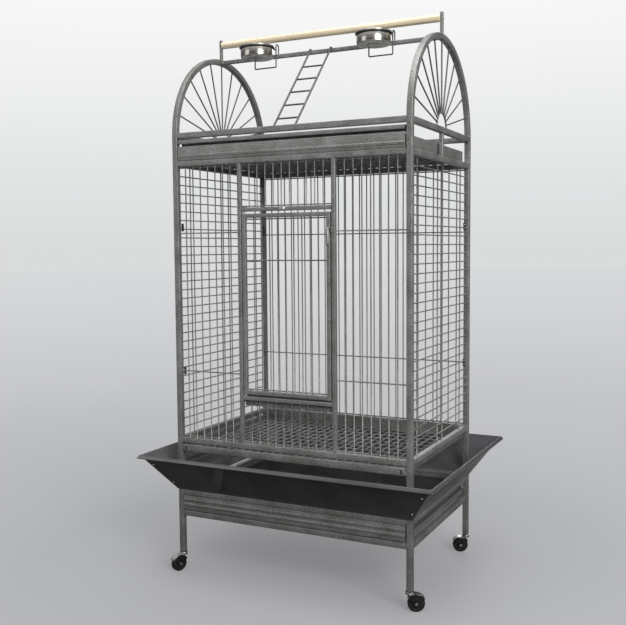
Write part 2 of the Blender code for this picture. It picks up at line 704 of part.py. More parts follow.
def build_top_tray(steel):
    """A shallow pull-out pan over the roof: a front fascia, and over a slot for fingers the lip to pull."""
    half = HALF_W - TOP_TRAY_SIDE
    bottom = BODY_TOP + GAP
    mesh = open_pan(half, -HALF_D + SHEET, INNER_Y - SLIDE_GAP, bottom, TOP_TRAY_WALL)
    tray = make_object("top_tray", mesh, steel)
    top = bottom + TOP_TRAY_HEIGHT
    fascia = beaded_plate(half, -HALF_D, bottom, top, [bottom + FASCIA_BEAD])
    front = -HALF_D + SHEET
    back = -HALF_D + TOP_TRAY_LEDGE
    low = top + PULL_SLOT
    high = low + PULL_LIP
    section = [
        (front, top - SHEET), (back, top - SHEET), (back, high), (-HALF_D, high), (-HALF_D, low),
        (front, low), (front, high - SHEET), (back - SHEET, high - SHEET), (back - SHEET, top), (front, top),
    ]
    mesh = bmesh.new()
    add_extrusion(mesh, [(-half, y, z) for y, z in section], Vector((2 * half, 0, 0)))
    combine(tray, [fascia, helper(mesh)])


def build_ladder(steel):
    """Two rods that hook over the top bar and lean on the front play rail, with rungs between."""
    clearance = GAP + LADDER_ROD / 2
    top_z = BAR_HEIGHT + TOP_BAR / 2 + clearance
    front_y = -TOP_BAR / 2 - clearance
    back_y = TOP_BAR / 2 + clearance
    corner = HOOK_CORNER
    foot = Vector((0, -INNER_Y + LADDER_ROD / 2, PLAY_RAIL_TOP - LADDER_FOOT))
    shoulder = Vector((0, front_y - corner, BAR_HEIGHT - corner))
    path = [
        Vector((0, back_y, BAR_HEIGHT - corner)), Vector((0, back_y, top_z - corner)),
        Vector((0, back_y - corner * 0.3, top_z - corner * 0.3)), Vector((0, back_y - corner, top_z)),
        Vector((0, front_y + corner, top_z)), Vector((0, front_y + corner * 0.3, top_z - corner * 0.3)),
        Vector((0, front_y, top_z - corner)), Vector((0, front_y, BAR_HEIGHT + corner / 2)), shoulder, foot,
    ]
    half = LADDER_WIDTH / 2
    ends = [Vector((LADDER_X + side * half, 0, 0)) for side in (-1, 1)]
    left = swept_wire([p + ends[0] for p in path], LADDER_ROD)
    right = swept_wire([p + ends[1] for p in path], LADDER_ROD)
    rungs = []
    for k in range(LADDER_RUNGS):
        point = shoulder.lerp(foot, LADDER_FIRST + k * LADDER_PITCH)
        rungs.append((point + ends[0], point + ends[1]))
    mesh = bmesh.new()
    mesh.from_mesh(left.data)
    ladder = make_object("ladder", mesh, steel)
    bpy.data.objects.remove(left)
    return smooth(combine(ladder, [right, rods_helper(rungs, Z_AXIS, LADDER_ROD, GRID_SIDES)]), 50)


def build_bowl(name, x, bright, steel):
    """A steel bowl whose rim rests on the ring of a wire hanger."""
    centre = Vector((x, -BOWL_OUT, 0))
    floor = BOWL_RIM - BOWL_HEIGHT
    middle = (BOWL_RADIUS - BOWL_CORNER, floor + BOWL_CORNER, 0)
    bend = arc(middle, BOWL_CORNER, -90, 0, BOWL_BENDS, X_AXIS, Y_AXIS)
    outer = [(0.0, floor)] + [(point.x, point.y) for point in bend]
    outer.append((BOWL_RADIUS, BOWL_RIM - BOWL_RIM_FOLD))
    outer.append((BOWL_RADIUS + BOWL_LIP, BOWL_RIM - BOWL_RIM_EDGE))
    outer.append((BOWL_RADIUS + BOWL_LIP, BOWL_RIM))
    bend = arc(middle, BOWL_CORNER - BOWL_WALL, 0, -90, BOWL_BENDS, X_AXIS, Y_AXIS)
    inner = [(BOWL_RADIUS - BOWL_WALL, BOWL_RIM)] + [(point.x, point.y) for point in bend]
    inner.append((0.0, floor + BOWL_WALL))
    mesh = bmesh.new()
    verts = [mesh.verts.new(centre + Vector((r, 0, z))) for r, z in outer + inner]
    edges = [mesh.edges.new(pair) for pair in zip(verts, verts[1:])]
    full = 2 * math.pi
    bmesh.ops.spin(
        mesh, geom=verts + edges, cent=centre, axis=Z_AXIS, angle=full, steps=BOWL_STEPS, use_duplicate=False,
    )
    bmesh.ops.remove_doubles(mesh, verts=mesh.verts, dist=1e-5)
    smooth(make_object(f"bowl_{name}", mesh, bright, centre + Z_AXIS * floor))

    radius = HANGER_WIRE / 2
    ring_radius = BOWL_RADIUS + HANGER_FIT + radius
    ring_z = BOWL_RIM - BOWL_RIM_FOLD - GAP - radius
    last = 360 * (1 - 1 / BOWL_STEPS)
    ring = arc(centre + Z_AXIS * ring_z, ring_radius, 0, last, BOWL_STEPS - 1, X_AXIS, Y_AXIS)
    leg_y = -TOP_BAR / 2 - GAP - radius
    back_y = TOP_BAR / 2 + GAP + radius

    def side_path(side):
        u = x + side * HANGER_SPREAD
        inward = -side * HANGER_BEND
        tail = Vector((u, back_y, BAR_HEIGHT - TOP_BAR / 2))
        over = arc((u, 0, HOOK_TOP - back_y), back_y, 0, 180, 6, Y_AXIS, Z_AXIS)
        down = Vector((u, leg_y, HANGER_BOTTOM + HANGER_BEND))
        elbow = Vector((u + inward * 0.3, leg_y, HANGER_BOTTOM + HANGER_BEND * 0.3))
        return [tail, *over, down, elbow, Vector((u + inward, leg_y, HANGER_BOTTOM))]

    frame = swept_wire(side_path(-1) + list(reversed(side_path(1))), HANGER_WIRE, resolution=0)
    mesh = bmesh.new()
    mesh.from_mesh(frame.data)
    hanger = make_object(f"bowl_hanger_{name}", mesh, steel)
    bpy.data.objects.remove(frame)
    link_y = -BOWL_OUT + math.sqrt(ring_radius**2 - HANGER_SPREAD**2)
    links = [((u, link_y, ring_z), (u, leg_y, ring_z)) for u in (x - HANGER_SPREAD, x + HANGER_SPREAD)]
    loop = swept_wire(ring, HANGER_WIRE, closed=True, resolution=0)
    return smooth(combine(hanger, [loop, rods_helper(links, X_AXIS, HANGER_WIRE, GRID_SIDES)]), 50)


def build_caster(name, x, y, turn, bright, rubber):
    """A swivel collar with a hooded fork and its axle, and the wheel that runs on it."""
    spin = Matrix.Rotation(math.radians(turn), 4, "Z")
    place = Matrix.Translation((x, y, 0)) @ spin
    hub = Vector((TRAIL, 0, WHEEL_RADIUS))
    inner_half = WHEEL_WIDTH / 2 + CHEEK_GAP
    outer_half = inner_half + CHEEK
    hood = WHEEL_RADIUS + HOOD_GAP
    collar_top = LEG_BOTTOM - GAP
    collar_bottom = collar_top - COLLAR_HEIGHT

    def drum(half_width, diameter, sides=BOSS_SIDES):
        mesh = bmesh.new()
        add_rod(mesh, hub - Y_AXIS * half_width, hub + Y_AXIS * half_width, diameter, sides)
        return mesh

    fork = make_object(f"caster_fork_{name}", drum(outer_half, 2 * hood), bright)
    neck = bmesh.new()
    half = outer_half - GAP
    add_block(neck, (0.0, -half, collar_bottom - NECK_DROP), (TRAIL, half, collar_bottom + NECK_RISE))
    combine(fork, [helper(neck)])
    cavity = helper(drum(inner_half, 2 * (WHEEL_RADIUS + WHEEL_GAP)))
    under = bmesh.new()
    reach = Vector((2 * hood, 2 * hood, -HOOD_CUT))
    add_block(under, hub - Vector((2 * hood, 2 * hood, 2 * hood)), hub + reach)
    combine(fork, [cavity, helper(under)], "DIFFERENCE")
    collar = bmesh.new()
    add_rod(collar, (0, 0, collar_bottom), (0, 0, collar_top), COLLAR, BOSS_SIDES)
    combine(fork, [helper(drum(outer_half + AXLE_END, AXLE, 8)), helper(collar)])
    fork.data.transform(spin)
    fork.location = (x, y, 0)
    smooth(fork)

    bore = AXLE / 2 + GAP
    half = WHEEL_WIDTH / 2
    section = [
        (bore, -half), (WHEEL_RADIUS - TREAD, -half), (WHEEL_RADIUS, -half + TREAD),
        (WHEEL_RADIUS, half - TREAD), (WHEEL_RADIUS - TREAD, half), (bore, half),
    ]
    mesh = bmesh.new()
    verts = [mesh.verts.new((r, v, 0)) for r, v in section]
    edges = [mesh.edges.new(pair) for pair in zip(verts, verts[1:] + verts[:1])]
    full = 2 * math.pi
    bmesh.ops.spin(
        mesh, geom=verts + edges, cent=(0, 0, 0), axis=Y_AXIS, angle=full,
        steps=BOSS_SIDES, use_duplicate=False,
    )
    bmesh.ops.remove_doubles(mesh, verts=mesh.verts, dist=1e-5)
    wheel = make_object(f"caster_wheel_{name}", mesh, rubber)
    wheel.data.transform(spin)
    wheel.location = place @ hub
    smooth(wheel, 30)


def build():
    for item in list(bpy.data.objects):
        bpy.data.objects.remove(item)
    steel = make_material("antique_silver_powder_coat", (0.075, 0.074, 0.07), 0.45, 0.6)
    sheet = make_material("black_gloss_coat", (0.012, 0.012, 0.013), 0.25, 0.0)
    bright = make_material("stainless_steel", (0.62, 0.61, 0.59), 0.22, 1.0)
    rubber = make_material("black_rubber", (0.01, 0.01, 0.01), 0.6, 0.0)
    wood = make_material("perch_wood", (0.62, 0.47, 0.27), 0.6, 0.0)
    build_stand(steel)
    build_bottom_tray(steel)
    build_floor_grate(steel)
    build_skirt(sheet)
    build_side("left", -1, steel)
    build_side("right", 1, steel)
    build_back(steel)
    build_front(steel)
    build_roof(steel)
    build_door(steel, bright)
    build_play_top(steel, wood)
    build_top_tray(steel)
    build_ladder(steel)
    for name, x in zip(("left", "right"), BOWL_X, strict=True):
        build_bowl(name, x, bright, steel)
    for name, turn in CASTER_TURNS.items():
        x = -POST_X if name.endswith("left") else POST_X
        y = -POST_Y if name.startswith("front") else POST_Y
        build_caster(name, x, y, turn, bright, rubber)


build()
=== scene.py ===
# %% [markdown]
# # A play-top parrot cage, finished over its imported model
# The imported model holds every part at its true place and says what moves.
# This lesson keeps those places and gives each part the shape of the real thing seen close:
# rounded tube corners, weld beads, round wire, rolled sheet edges, screws and wood grain.

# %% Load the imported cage
import json
import math

import bmesh
import bpy
from mathutils import Matrix, Vector
from mathutils.geometry import intersect_line_line


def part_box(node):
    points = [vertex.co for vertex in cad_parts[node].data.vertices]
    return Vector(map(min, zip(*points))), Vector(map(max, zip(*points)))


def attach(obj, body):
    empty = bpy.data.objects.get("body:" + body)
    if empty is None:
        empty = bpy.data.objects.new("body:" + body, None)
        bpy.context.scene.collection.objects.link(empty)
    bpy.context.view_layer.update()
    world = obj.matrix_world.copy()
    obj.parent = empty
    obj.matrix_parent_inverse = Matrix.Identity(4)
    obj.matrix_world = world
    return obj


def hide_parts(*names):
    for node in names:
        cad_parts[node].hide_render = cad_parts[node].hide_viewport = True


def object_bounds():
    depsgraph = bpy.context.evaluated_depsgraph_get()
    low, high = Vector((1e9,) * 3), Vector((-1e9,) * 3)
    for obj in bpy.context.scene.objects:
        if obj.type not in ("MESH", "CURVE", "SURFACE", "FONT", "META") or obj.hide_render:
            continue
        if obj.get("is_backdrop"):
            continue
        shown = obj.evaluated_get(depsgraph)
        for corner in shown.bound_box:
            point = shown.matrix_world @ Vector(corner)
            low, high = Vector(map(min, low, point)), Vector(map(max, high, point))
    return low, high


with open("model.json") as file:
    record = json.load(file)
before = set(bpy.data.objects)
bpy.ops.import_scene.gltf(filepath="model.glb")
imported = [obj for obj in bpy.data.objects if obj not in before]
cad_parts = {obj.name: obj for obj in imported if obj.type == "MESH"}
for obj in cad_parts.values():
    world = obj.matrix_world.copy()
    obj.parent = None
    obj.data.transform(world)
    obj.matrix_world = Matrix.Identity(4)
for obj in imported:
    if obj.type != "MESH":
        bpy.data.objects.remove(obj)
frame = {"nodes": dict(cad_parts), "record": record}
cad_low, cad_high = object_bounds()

BODY_OF = {node: body for body, nodes in frame["record"]["behaviour"]["bodies"].items() for node in nodes}
print("packed nodes", len(frame["nodes"]), "size", [round(v, 4) for v in cad_high - cad_low])

# %% [markdown]
# ## The camera
# The photograph was taken from the right of the front, at about the height of the door's latch.
# The place, the three turns and the lens were worked out from the cage's own corners in the picture,
# so the picture and the render can be laid over each other.

# %% Camera
CAMERA_PLACE = Vector((1.2531, -2.631, 1.0624))
YAW, PITCH, ROLL = -0.4601, -0.0741, -0.0077
LENS, SENSOR = 50.314, 36

look = Vector((math.sin(YAW) * math.cos(PITCH), math.cos(YAW) * math.cos(PITCH), math.sin(PITCH)))
right = Vector((math.cos(YAW), -math.sin(YAW), 0))
above = right.cross(look)
rolled = math.cos(ROLL) * right + math.sin(ROLL) * above
upright = math.cos(ROLL) * above - math.sin(ROLL) * right
axes = Matrix((rolled, upright, -look)).transposed().to_4x4()
camera = bpy.data.objects.new("camera", bpy.data.cameras.new("camera"))
camera.data.lens = LENS
camera.data.sensor_width = SENSOR
camera.matrix_world = Matrix.Translation(CAMERA_PLACE) @ axes
bpy.context.scene.collection.objects.link(camera)
bpy.context.scene.camera = camera
bpy.context.scene.view_settings.view_transform = "Standard"
print("camera looks along", [round(v, 3) for v in look])

# %% [markdown]
# ## Helpers for every finish
# Colours are written as the eye reads them on a screen, and Blender wants them linear.
# A node is always added the same way: its own settings, then a value or a link for each input.
# Most finishes end alike, with a colour that is rubbed paler at the edges, a gloss that drifts from
# place to place, and a fine relief, so one helper puts those three on the shader.


def linear(code):
    """The linear colour of an sRGB hex code."""
    channels = [int(code[k : k + 2], 16) / 255 for k in (0, 2, 4)]
    return (*[c / 12.92 if c <= 0.04045 else ((c + 0.055) / 1.055) ** 2.4 for c in channels], 1.0)


def add(tree, kind, inputs=None, stops=None, **settings):
    """Adds a shader node with its settings, its values and links, and its ramp's colours."""
    node = tree.nodes.new(f"ShaderNode{kind}")
    for key, value in settings.items():
        setattr(node, key, value)
    for key, value in (inputs or {}).items():
        if isinstance(value, bpy.types.NodeSocket):
            tree.links.new(value, node.inputs[key])
        else:
            node.inputs[key].default_value = value
    for k, (place, code) in enumerate(stops or ()):
        spot = node.color_ramp.elements[k] if k < 2 else node.color_ramp.elements.new(place)
        spot.position = place
        spot.color = linear(code)
    return node


def surface(name, values):
    """A material, with its node tree, its shader and the place on the object."""
    material = bpy.data.materials.new(name)
    material.use_nodes = True
    tree = material.node_tree
    shader = tree.nodes["Principled BSDF"]
    for key, value in values.items():
        shader.inputs[key].default_value = value
    print("finish", name)
    return material, tree, shader, add(tree, "TexCoord").outputs["Object"]


def worn_edge(tree, radius, most):
    """A mask that is high where the surface turns over an edge, where hands and tools rub."""
    rounded = add(tree, "Bevel", {"Radius": radius}, samples=4).outputs["Normal"]
    flat = add(tree, "NewGeometry").outputs["Normal"]
    agree = add(tree, "VectorMath", {0: rounded, 1: flat}, operation="DOT_PRODUCT").outputs["Value"]
    limits = {"Value": agree, "From Min": 0.99, "From Max": 0.86, "To Min": 0.0, "To Max": most}
    return add(tree, "MapRange", limits).outputs["Result"]


def dress(tree, shader, colour, edge, gloss, relief, sunk=False):
    """Puts on a colour, with its edge's code, width and most; a gloss, as a mask and the roughness
    at its two ends; and a relief, as a mask, its strength and its depth."""
    if edge:
        code, radius, most = edge
        rubbed = {0: worn_edge(tree, radius, most), 6: colour, 7: linear(code)}
        colour = add(tree, "Mix", rubbed, data_type="RGBA").outputs[2]
    mask, smooth, rough = gloss
    limits = {"Value": mask, "From Min": 0.3, "From Max": 0.7, "To Min": smooth, "To Max": rough}
    height, strength, depth = relief
    bump = {"Height": height, "Strength": strength, "Distance": depth}
    tree.links.new(colour, shader.inputs["Base Color"])
    tree.links.new(add(tree, "MapRange", limits).outputs["Result"], shader.inputs["Roughness"])
    tree.links.new(add(tree, "Bump", bump, invert=sunk).outputs["Normal"], shader.inputs["Normal"])


print("half grey is", round(linear("808080")[0], 3), "in linear light")

# %% [markdown]
# ## Antique silver powder coat
# The cage's steel is sprayed with a two-tone powder and baked: as it melts, a dark coat draws back
# round flakes of silver and leaves a fine hammered skin. The eye gets a mid grey that sparkles a
# little, dark in the dimples and pale on the flakes. The real cells are about 1.5 mm across, and here
# they are drawn at 3 mm so that they show at the picture's distance. On thin loose wire the flakes
# slide off before the coat sets, so the ladder, the fans and the bowl hangers come out darker. The
# drawer's pan has the darker coat too, as painted shade for the dark under the skirt where it sits.

# %% Antique silver powder coat
CELL, DRIFT = 0.003, 0.06


def hammered(name, tones, edge):
    """Two-tone powder coat: tones from the flakes to the dimples, and the tone of its rubbed edges."""
    coat, tree, shader, place = surface(name, {"Metallic": 0.45, "IOR": 1.5})
    spots = {"Vector": place, "Scale": 1 / CELL}
    cells = add(tree, "TexVoronoi", spots, feature="SMOOTH_F1").outputs["Distance"]
    drift = add(tree, "TexNoise", {"Vector": place, "Scale": 1 / DRIFT, "Detail": 4.0}).outputs["Fac"]
    flake = add(tree, "ValToRGB", {"Fac": cells}, list(zip((0.1, 0.42, 0.75), tones))).outputs[0]
    shade = add(tree, "ValToRGB", {"Fac": drift}, [(0.3, "D2D1CE"), (0.7, "FFFFFF")]).outputs[0]
    both = {0: 1.0, 6: flake, 7: shade}
    toned = add(tree, "Mix", both, data_type="RGBA", blend_type="MULTIPLY").outputs[2]
    dress(tree, shader, toned, (edge, 0.0012, 0.45), (drift, 0.34, 0.5), (cells, 0.35, 0.0003), sunk=True)
    return coat


silver_coat = hammered("antique_silver_powder_coat", ("9A9A97", "7F7F7D", "5C5C5B"), "A5A39E")
# The darker coat is also laid on the drawer's pan, where it is painted shade.
dark_coat_and_pan_shade = hammered("antique_silver_dark_coat_and_pan_shade", ("6A6A68", "545453", "3A3A39"), "7A7975")

# %% [markdown]
# ## Black gloss powder coat
# The seed skirt is smooth sheet steel with a plain black powder that flows out to a wet gloss. The
# eye gets near black with the cage mirrored in it, a faint orange-peel ripple of about 5 mm, thin
# dust that dulls it in patches, and edges rubbed a little paler.

# %% Black gloss powder coat
PEEL, DUST = 0.005, 0.12
plain = {"Metallic": 0.0, "IOR": 1.5}
black_coat, tree, shader, place = surface("black_gloss_powder_coat", plain)
lumps = {"Vector": place, "Scale": 1 / DUST, "Detail": 5.0, "Roughness": 0.6}
dust = add(tree, "TexNoise", lumps).outputs["Fac"]
tint = add(tree, "ValToRGB", {"Fac": dust}, [(0.35, "3E3E40"), (0.65, "49494B")]).outputs[0]
peel = add(tree, "TexNoise", {"Vector": place, "Scale": 1 / PEEL, "Detail": 2.0}).outputs["Fac"]
dress(tree, shader, tint, ("828280", 0.0012, 0.5), (dust, 0.05, 0.14), (peel, 0.08, 0.0003))

# %% [markdown]
# ## Black fork enamel
# The caster forks are pressed steel dipped in black stoving enamel. The eye gets a deeper black than
# the skirt's, glossy, with a ripple of about 3 mm, dull scuffs of about 9 mm where feet and floors
# knock it, and a greyer line where it is rubbed at the edges.

# %% Black fork enamel
SCUFF, DIP_RIPPLE = 0.009, 0.003
hood_coat, tree, shader, place = surface("black_fork_enamel", {"Metallic": 0.0, "IOR": 1.5})
lumps = {"Vector": place, "Scale": 1 / SCUFF, "Detail": 4.0, "Roughness": 0.65}
scuff = add(tree, "TexNoise", lumps).outputs["Fac"]
tint = add(tree, "ValToRGB", {"Fac": scuff}, [(0.35, "0C0C0D"), (0.7, "1B1B1C")]).outputs[0]
peel = add(tree, "TexNoise", {"Vector": place, "Scale": 1 / DIP_RIPPLE, "Detail": 2.0}).outputs["Fac"]
dress(tree, shader, tint, ("6C6C6B", 0.0006, 0.5), (scuff, 0.08, 0.22), (peel, 0.08, 0.0003))

# %% [markdown]
# ## Bright metals
# The bowls are spun stainless steel: a mirror drawn out into fine level rings by the spinning tool.
# The swivel cups and the catches are pressed steel with bright zinc: paler and softer, with a cloudy
# bloom of about 8 mm where the plating took unevenly.

# %% Spun stainless steel
RING = 0.0012
stainless, tree, shader, place = surface("spun_stainless_steel", {"Metallic": 1.0})
rings = add(tree, "Mapping", {"Vector": place, "Scale": (8.0, 8.0, 1 / RING)}).outputs["Vector"]
lines = add(tree, "TexNoise", {"Vector": rings, "Scale": 1.0, "Detail": 3.0}).outputs["Fac"]
tint = add(tree, "ValToRGB", {"Fac": lines}, [(0.3, "A6A39A"), (0.7, "CFCCC4")]).outputs[0]
dress(tree, shader, tint, None, (lines, 0.12, 0.26), (lines, 0.08, 0.0002))

# %% Bright zinc plate
BLOOM = 0.008
zinc, tree, shader, place = surface("bright_zinc_plate", {"Metallic": 1.0})
bloom = add(tree, "TexNoise", {"Vector": place, "Scale": 1 / BLOOM, "Detail": 4.0}).outputs["Fac"]
tones = [(0.3, "ADAEAB"), (0.55, "CFCFCB"), (0.8, "DEDDD5")]
tint = add(tree, "ValToRGB", {"Fac": bloom}, tones).outputs[0]
dress(tree, shader, tint, ("E2E2DE", 0.0008, 0.4), (bloom, 0.3, 0.46), (bloom, 0.05, 0.0002))

# %% [markdown]
# ## Rubber, nylon and beech
# Caster tyres are moulded black rubber, dull, with floor dust held in a fine grain. The plugs in the
# tube ends are moulded black nylon, a little shinier. The perch is a turned beech dowel: pale, with
# long darker growth lines along it and the short flecks that beech is known by.

# %% Black rubber
GRAIN, FLOOR_DUST = 0.0015, 0.012
rubber, tree, shader, place = surface("moulded_black_rubber", {"IOR": 1.52})
lumps = {"Vector": place, "Scale": 1 / FLOOR_DUST, "Detail": 5.0, "Roughness": 0.7}
dust = add(tree, "TexNoise", lumps).outputs["Fac"]
tint = add(tree, "ValToRGB", {"Fac": dust}, [(0.4, "0B0B0B"), (0.75, "1A1A19")]).outputs[0]
grain = add(tree, "TexNoise", {"Vector": place, "Scale": 1 / GRAIN, "Detail": 2.0}).outputs["Fac"]
dress(tree, shader, tint, ("4A4845", 0.0015, 0.35), (dust, 0.38, 0.62), (grain, 0.15, 0.0002))

# %% Black nylon
HAZE = 0.004
nylon, tree, shader, place = surface("moulded_black_nylon", {"IOR": 1.53})
haze = add(tree, "TexNoise", {"Vector": place, "Scale": 1 / HAZE, "Detail": 3.0}).outputs["Fac"]
tint = add(tree, "ValToRGB", {"Fac": haze}, [(0.3, "171718"), (0.7, "262626")]).outputs[0]
dress(tree, shader, tint, None, (haze, 0.3, 0.45), (haze, 0.1, 0.0002))

# %% Turned beech
GROWTH, FLECK_LONG, FLECK_WIDE = 0.0035, 0.012, 0.0016
beech, tree, shader, place = surface("turned_beech", {"IOR": 1.5})
along = add(tree, "Mapping", {"Vector": place, "Scale": (4.0, 1 / GROWTH, 1 / GROWTH)}).outputs["Vector"]
bands = {"Vector": along, "Scale": 1.0, "Detail": 5.0, "Distortion": 0.6}
growth = add(tree, "TexNoise", bands).outputs["Fac"]
tones = [(0.3, "B3A286"), (0.5, "C6B99F"), (0.7, "D5CCB6")]
tint = add(tree, "ValToRGB", {"Fac": growth}, tones).outputs[0]
stretch = (1 / FLECK_LONG, 1 / FLECK_WIDE, 1 / FLECK_WIDE)
short = add(tree, "Mapping", {"Vector": place, "Scale": stretch}).outputs["Vector"]
fleck = add(tree, "TexVoronoi", {"Vector": short, "Scale": 1.0}).outputs["Distance"]
limits = {"Value": fleck, "From Min": 0.22, "From Max": 0.1, "To Min": 0.0, "To Max": 0.55}
flecks = add(tree, "MapRange", limits).outputs["Result"]
dashed = add(tree, "Mix", {0: flecks, 6: tint, 7: linear("94805F")}, data_type="RGBA").outputs[2]
dress(tree, shader, dashed, None, (growth, 0.5, 0.68), (growth, 0.2, 0.0003))

# %% [markdown]
# ## Shapes from rings
# A tube, a wire, a bent sheet, a bowl and a pressed plate are all one thing to a mesh: a row of rings
# with the same number of points, skinned from one to the next. One function does the skinning, and
# the others only say where the rings go. Small turned and pressed profiles are given in millimetres.


# %% Outlines
def mm(*pairs):
    """Pairs of millimetres, in metres."""
    return [(a / 1000, b / 1000) for a, b in pairs]


def swing(end, steps):
    """Angles from nothing to the end, in equal steps."""
    return [end * k / steps for k in range(steps + 1)]


def around(radius, degrees):
    """Points of a circle at some angles."""
    return [(radius * math.cos(math.radians(a)), radius * math.sin(math.radians(a))) for a in degrees]


def circle(diameter, sides=12):
    turns = [2 * math.pi * (k + 0.5) / sides for k in range(sides)]
    return [(diameter / 2 * math.cos(t), diameter / 2 * math.sin(t)) for t in turns]


def rounded(width, depth, corner, steps=4):
    """The outline of a rectangle with round corners."""
    points = []
    for k, (u, v) in enumerate(((1, 1), (-1, 1), (-1, -1), (1, -1))):
        for j in range(steps + 1):
            angle = math.radians(90 * (k + j / steps))
            across = u * (width / 2 - corner) + corner * math.cos(angle)
            points.append((across, v * (depth / 2 - corner) + corner * math.sin(angle)))
    return points


def spaced(low, high, count):
    """Centres of bars that leave equal gaps."""
    return [low + (high - low) * (k + 1) / (count + 1) for k in range(count)]


print("points round a wire", len(circle(1)), "and round a square tube", len(rounded(1, 1, 0.1)))


# %% Ring helpers
def loft(shape, rings, closed=False):
    """Skins a row of rings, and closes the two ends unless the row runs round to its start."""
    rows = [[shape.verts.new(point) for point in ring] for ring in rings]
    for low, high in zip(rows, rows[1:] + rows[:1] if closed else rows[1:]):
        for k in range(len(low)):
            near = k - 1
            shape.faces.new((low[near], low[k], high[k], high[near]))
    if not closed:
        shape.faces.new(rows[0])
        shape.faces.new(rows[-1])


def sweep(shape, path, outline, normal, closed=False, sizes=None):
    """Carries an outline along a flat path. Its first direction stays on the normal."""
    path = [Vector(point) for point in path]
    normal = Vector(normal)
    rings = []
    for k, point in enumerate(path):
        goes_on = k < len(path) - 1 or closed
        before = (point - path[k - 1]).normalized() if k or closed else None
        after = (path[(k + 1) % len(path)] - point).normalized() if goes_on else before
        before = before or after
        tangent = (before + after).normalized()
        side = normal.cross(tangent) / max(0.4, tangent.dot(after))
        size = sizes[k] if sizes else 1.0
        rings.append([point + normal * (u * size) + side * (v * size) for u, v in outline])
    loft(shape, rings, closed)


def bend(points, radius, steps=5):
    """Rounds the corners of a path."""
    points = [Vector(point) for point in points]
    path = points[:1]
    for start, corner, end in zip(points, points[1:], points[2:]):
        back, on = start - corner, end - corner
        half = back.angle(on) / 2
        reach = min(radius / math.tan(half), 0.48 * back.length, 0.48 * on.length)
        first = corner + back.normalized() * reach
        inward = (back.normalized() + on.normalized()).normalized()
        centre = corner + inward * (reach / math.cos(half))
        spoke = first - centre
        axis = spoke.cross(corner + on.normalized() * reach - centre)
        for k in range(steps + 1):
            path.append(centre + Matrix.Rotation((math.pi - 2 * half) * k / steps, 3, axis) @ spoke)
    return path + points[-1:]


def stack(shape, place, width, depth, corner, profile, steps=4):
    """Rounded rectangles one above the other: the profile gives each one's inset and height."""
    rings = []
    for inset, height in profile:
        ring = rounded(width - 2 * inset, depth - 2 * inset, max(corner - inset, 0.0002), steps)
        rings.append([place @ Vector((u, v, height)) for u, v in ring])
    loft(shape, rings)


def turn(shape, place, profile, steps=32):
    """A turned shape: the profile gives each ring's radius and height."""
    loft(shape, [[place @ Vector((u * r, v * r, h)) for u, v in circle(2, steps)] for r, h in profile])


def formed(shape, path, thickness, place):
    """Bent sheet: a flat path given thickness, with place(point, end) for its two ends."""
    rings = []
    for k, point in enumerate(path):
        tangent = (path[min(k + 1, len(path) - 1)] - path[max(k - 1, 0)]).normalized()
        side = Vector((-tangent.y, tangent.x, 0)) * thickness / 2
        rings.append([place(point + s * side, end) for s, end in ((1, -1), (-1, -1), (-1, 1), (1, 1))])
    loft(shape, rings)


def facing(point, direction):
    """A place whose Z looks along a direction."""
    return Matrix.Translation(point) @ Vector(direction).to_track_quat("Z", "Y").to_matrix().to_4x4()


print("points on a path with one bend", len(bend([(0, 0, 0), (1, 0, 0), (1, 1, 0)], 0.1)))


# %% Piece helpers
def piece(name, shape, finish, node, stands_for=True, sharp=35):
    """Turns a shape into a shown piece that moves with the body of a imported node."""
    bmesh.ops.recalc_face_normals(shape, faces=shape.faces)
    mesh = bpy.data.meshes.new(name)
    shape.to_mesh(mesh)
    shape.free()
    mesh.shade_smooth()
    mesh.set_sharp_from_angle(angle=math.radians(sharp))
    mesh.materials.append(finish)
    made = bpy.data.objects.new(name, mesh)
    bpy.context.scene.collection.objects.link(made)
    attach(made, BODY_OF[node])
    if stands_for:
        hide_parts(node)
    print(name, len(mesh.polygons), "faces")


def part(node, kind, shape, finish=silver_coat, stands_for=True, sharp=35):
    """A piece named after the node that it rides with, in the silver coat unless another is given."""
    piece(f"{node}_{kind}", shape, finish, node, stands_for, sharp)


# %% [markdown]
# ## Tube, weld and wire
# Square tube is rolled from strip, so its corners are round. Where two tubes meet, a short bead of
# weld stands in the corner, rippled where the torch paused. Wire is resistance welded: at a tube it
# swells into a small collar, and where two wires cross the squeezed metal leaves a nugget.

# %% Tube, weld and wire helpers
TUBE, DOOR_TUBE, CORNER = 0.018, 0.0127, 0.0021
WIRE, SHEET, GAP = 0.004, 0.0014, 0.0003
RIPPLE, COLLAR = 0.0011, 0.0016
X, Y, Z = Vector((1, 0, 0)), Vector((0, 1, 0)), Vector((0, 0, 1))


def tube(shape, start, end, width=TUBE, corner=CORNER):
    start, end = Vector(start), Vector(end)
    normal = X if abs((end - start).x) < 1e-6 else Z
    sweep(shape, [start, end], rounded(width, width, corner), normal)


def bead(shape, start, end, radius=0.0012):
    """A rippled weld bead."""
    start, end = Vector(start), Vector(end)
    ripples = max(4, int((end - start).length / RIPPLE))
    normal = (end - start).orthogonal().normalized()
    sizes = [0.5] + [1.0 if k % 2 else 0.82 for k in range(1, ripples)] + [0.5]
    path = [start.lerp(end, k / ripples) for k in range(ripples + 1)]
    sweep(shape, path, circle(2 * radius, 8), normal, sizes=sizes)


def joint(shape, point, along, width, skip=()):
    """Beads round the end of a square tube, on all its sides but those that are ground flush."""
    point, along = Vector(point), Vector(along)
    for out in (X, -X, Y, -Y, Z, -Z):
        if abs(out.dot(along)) < 0.5 and not any(out.dot(Vector(s)) > 0.5 for s in skip):
            run = along.cross(out) * width * 0.42
            middle = point + out * width / 2
            bead(shape, middle - run, middle + run)


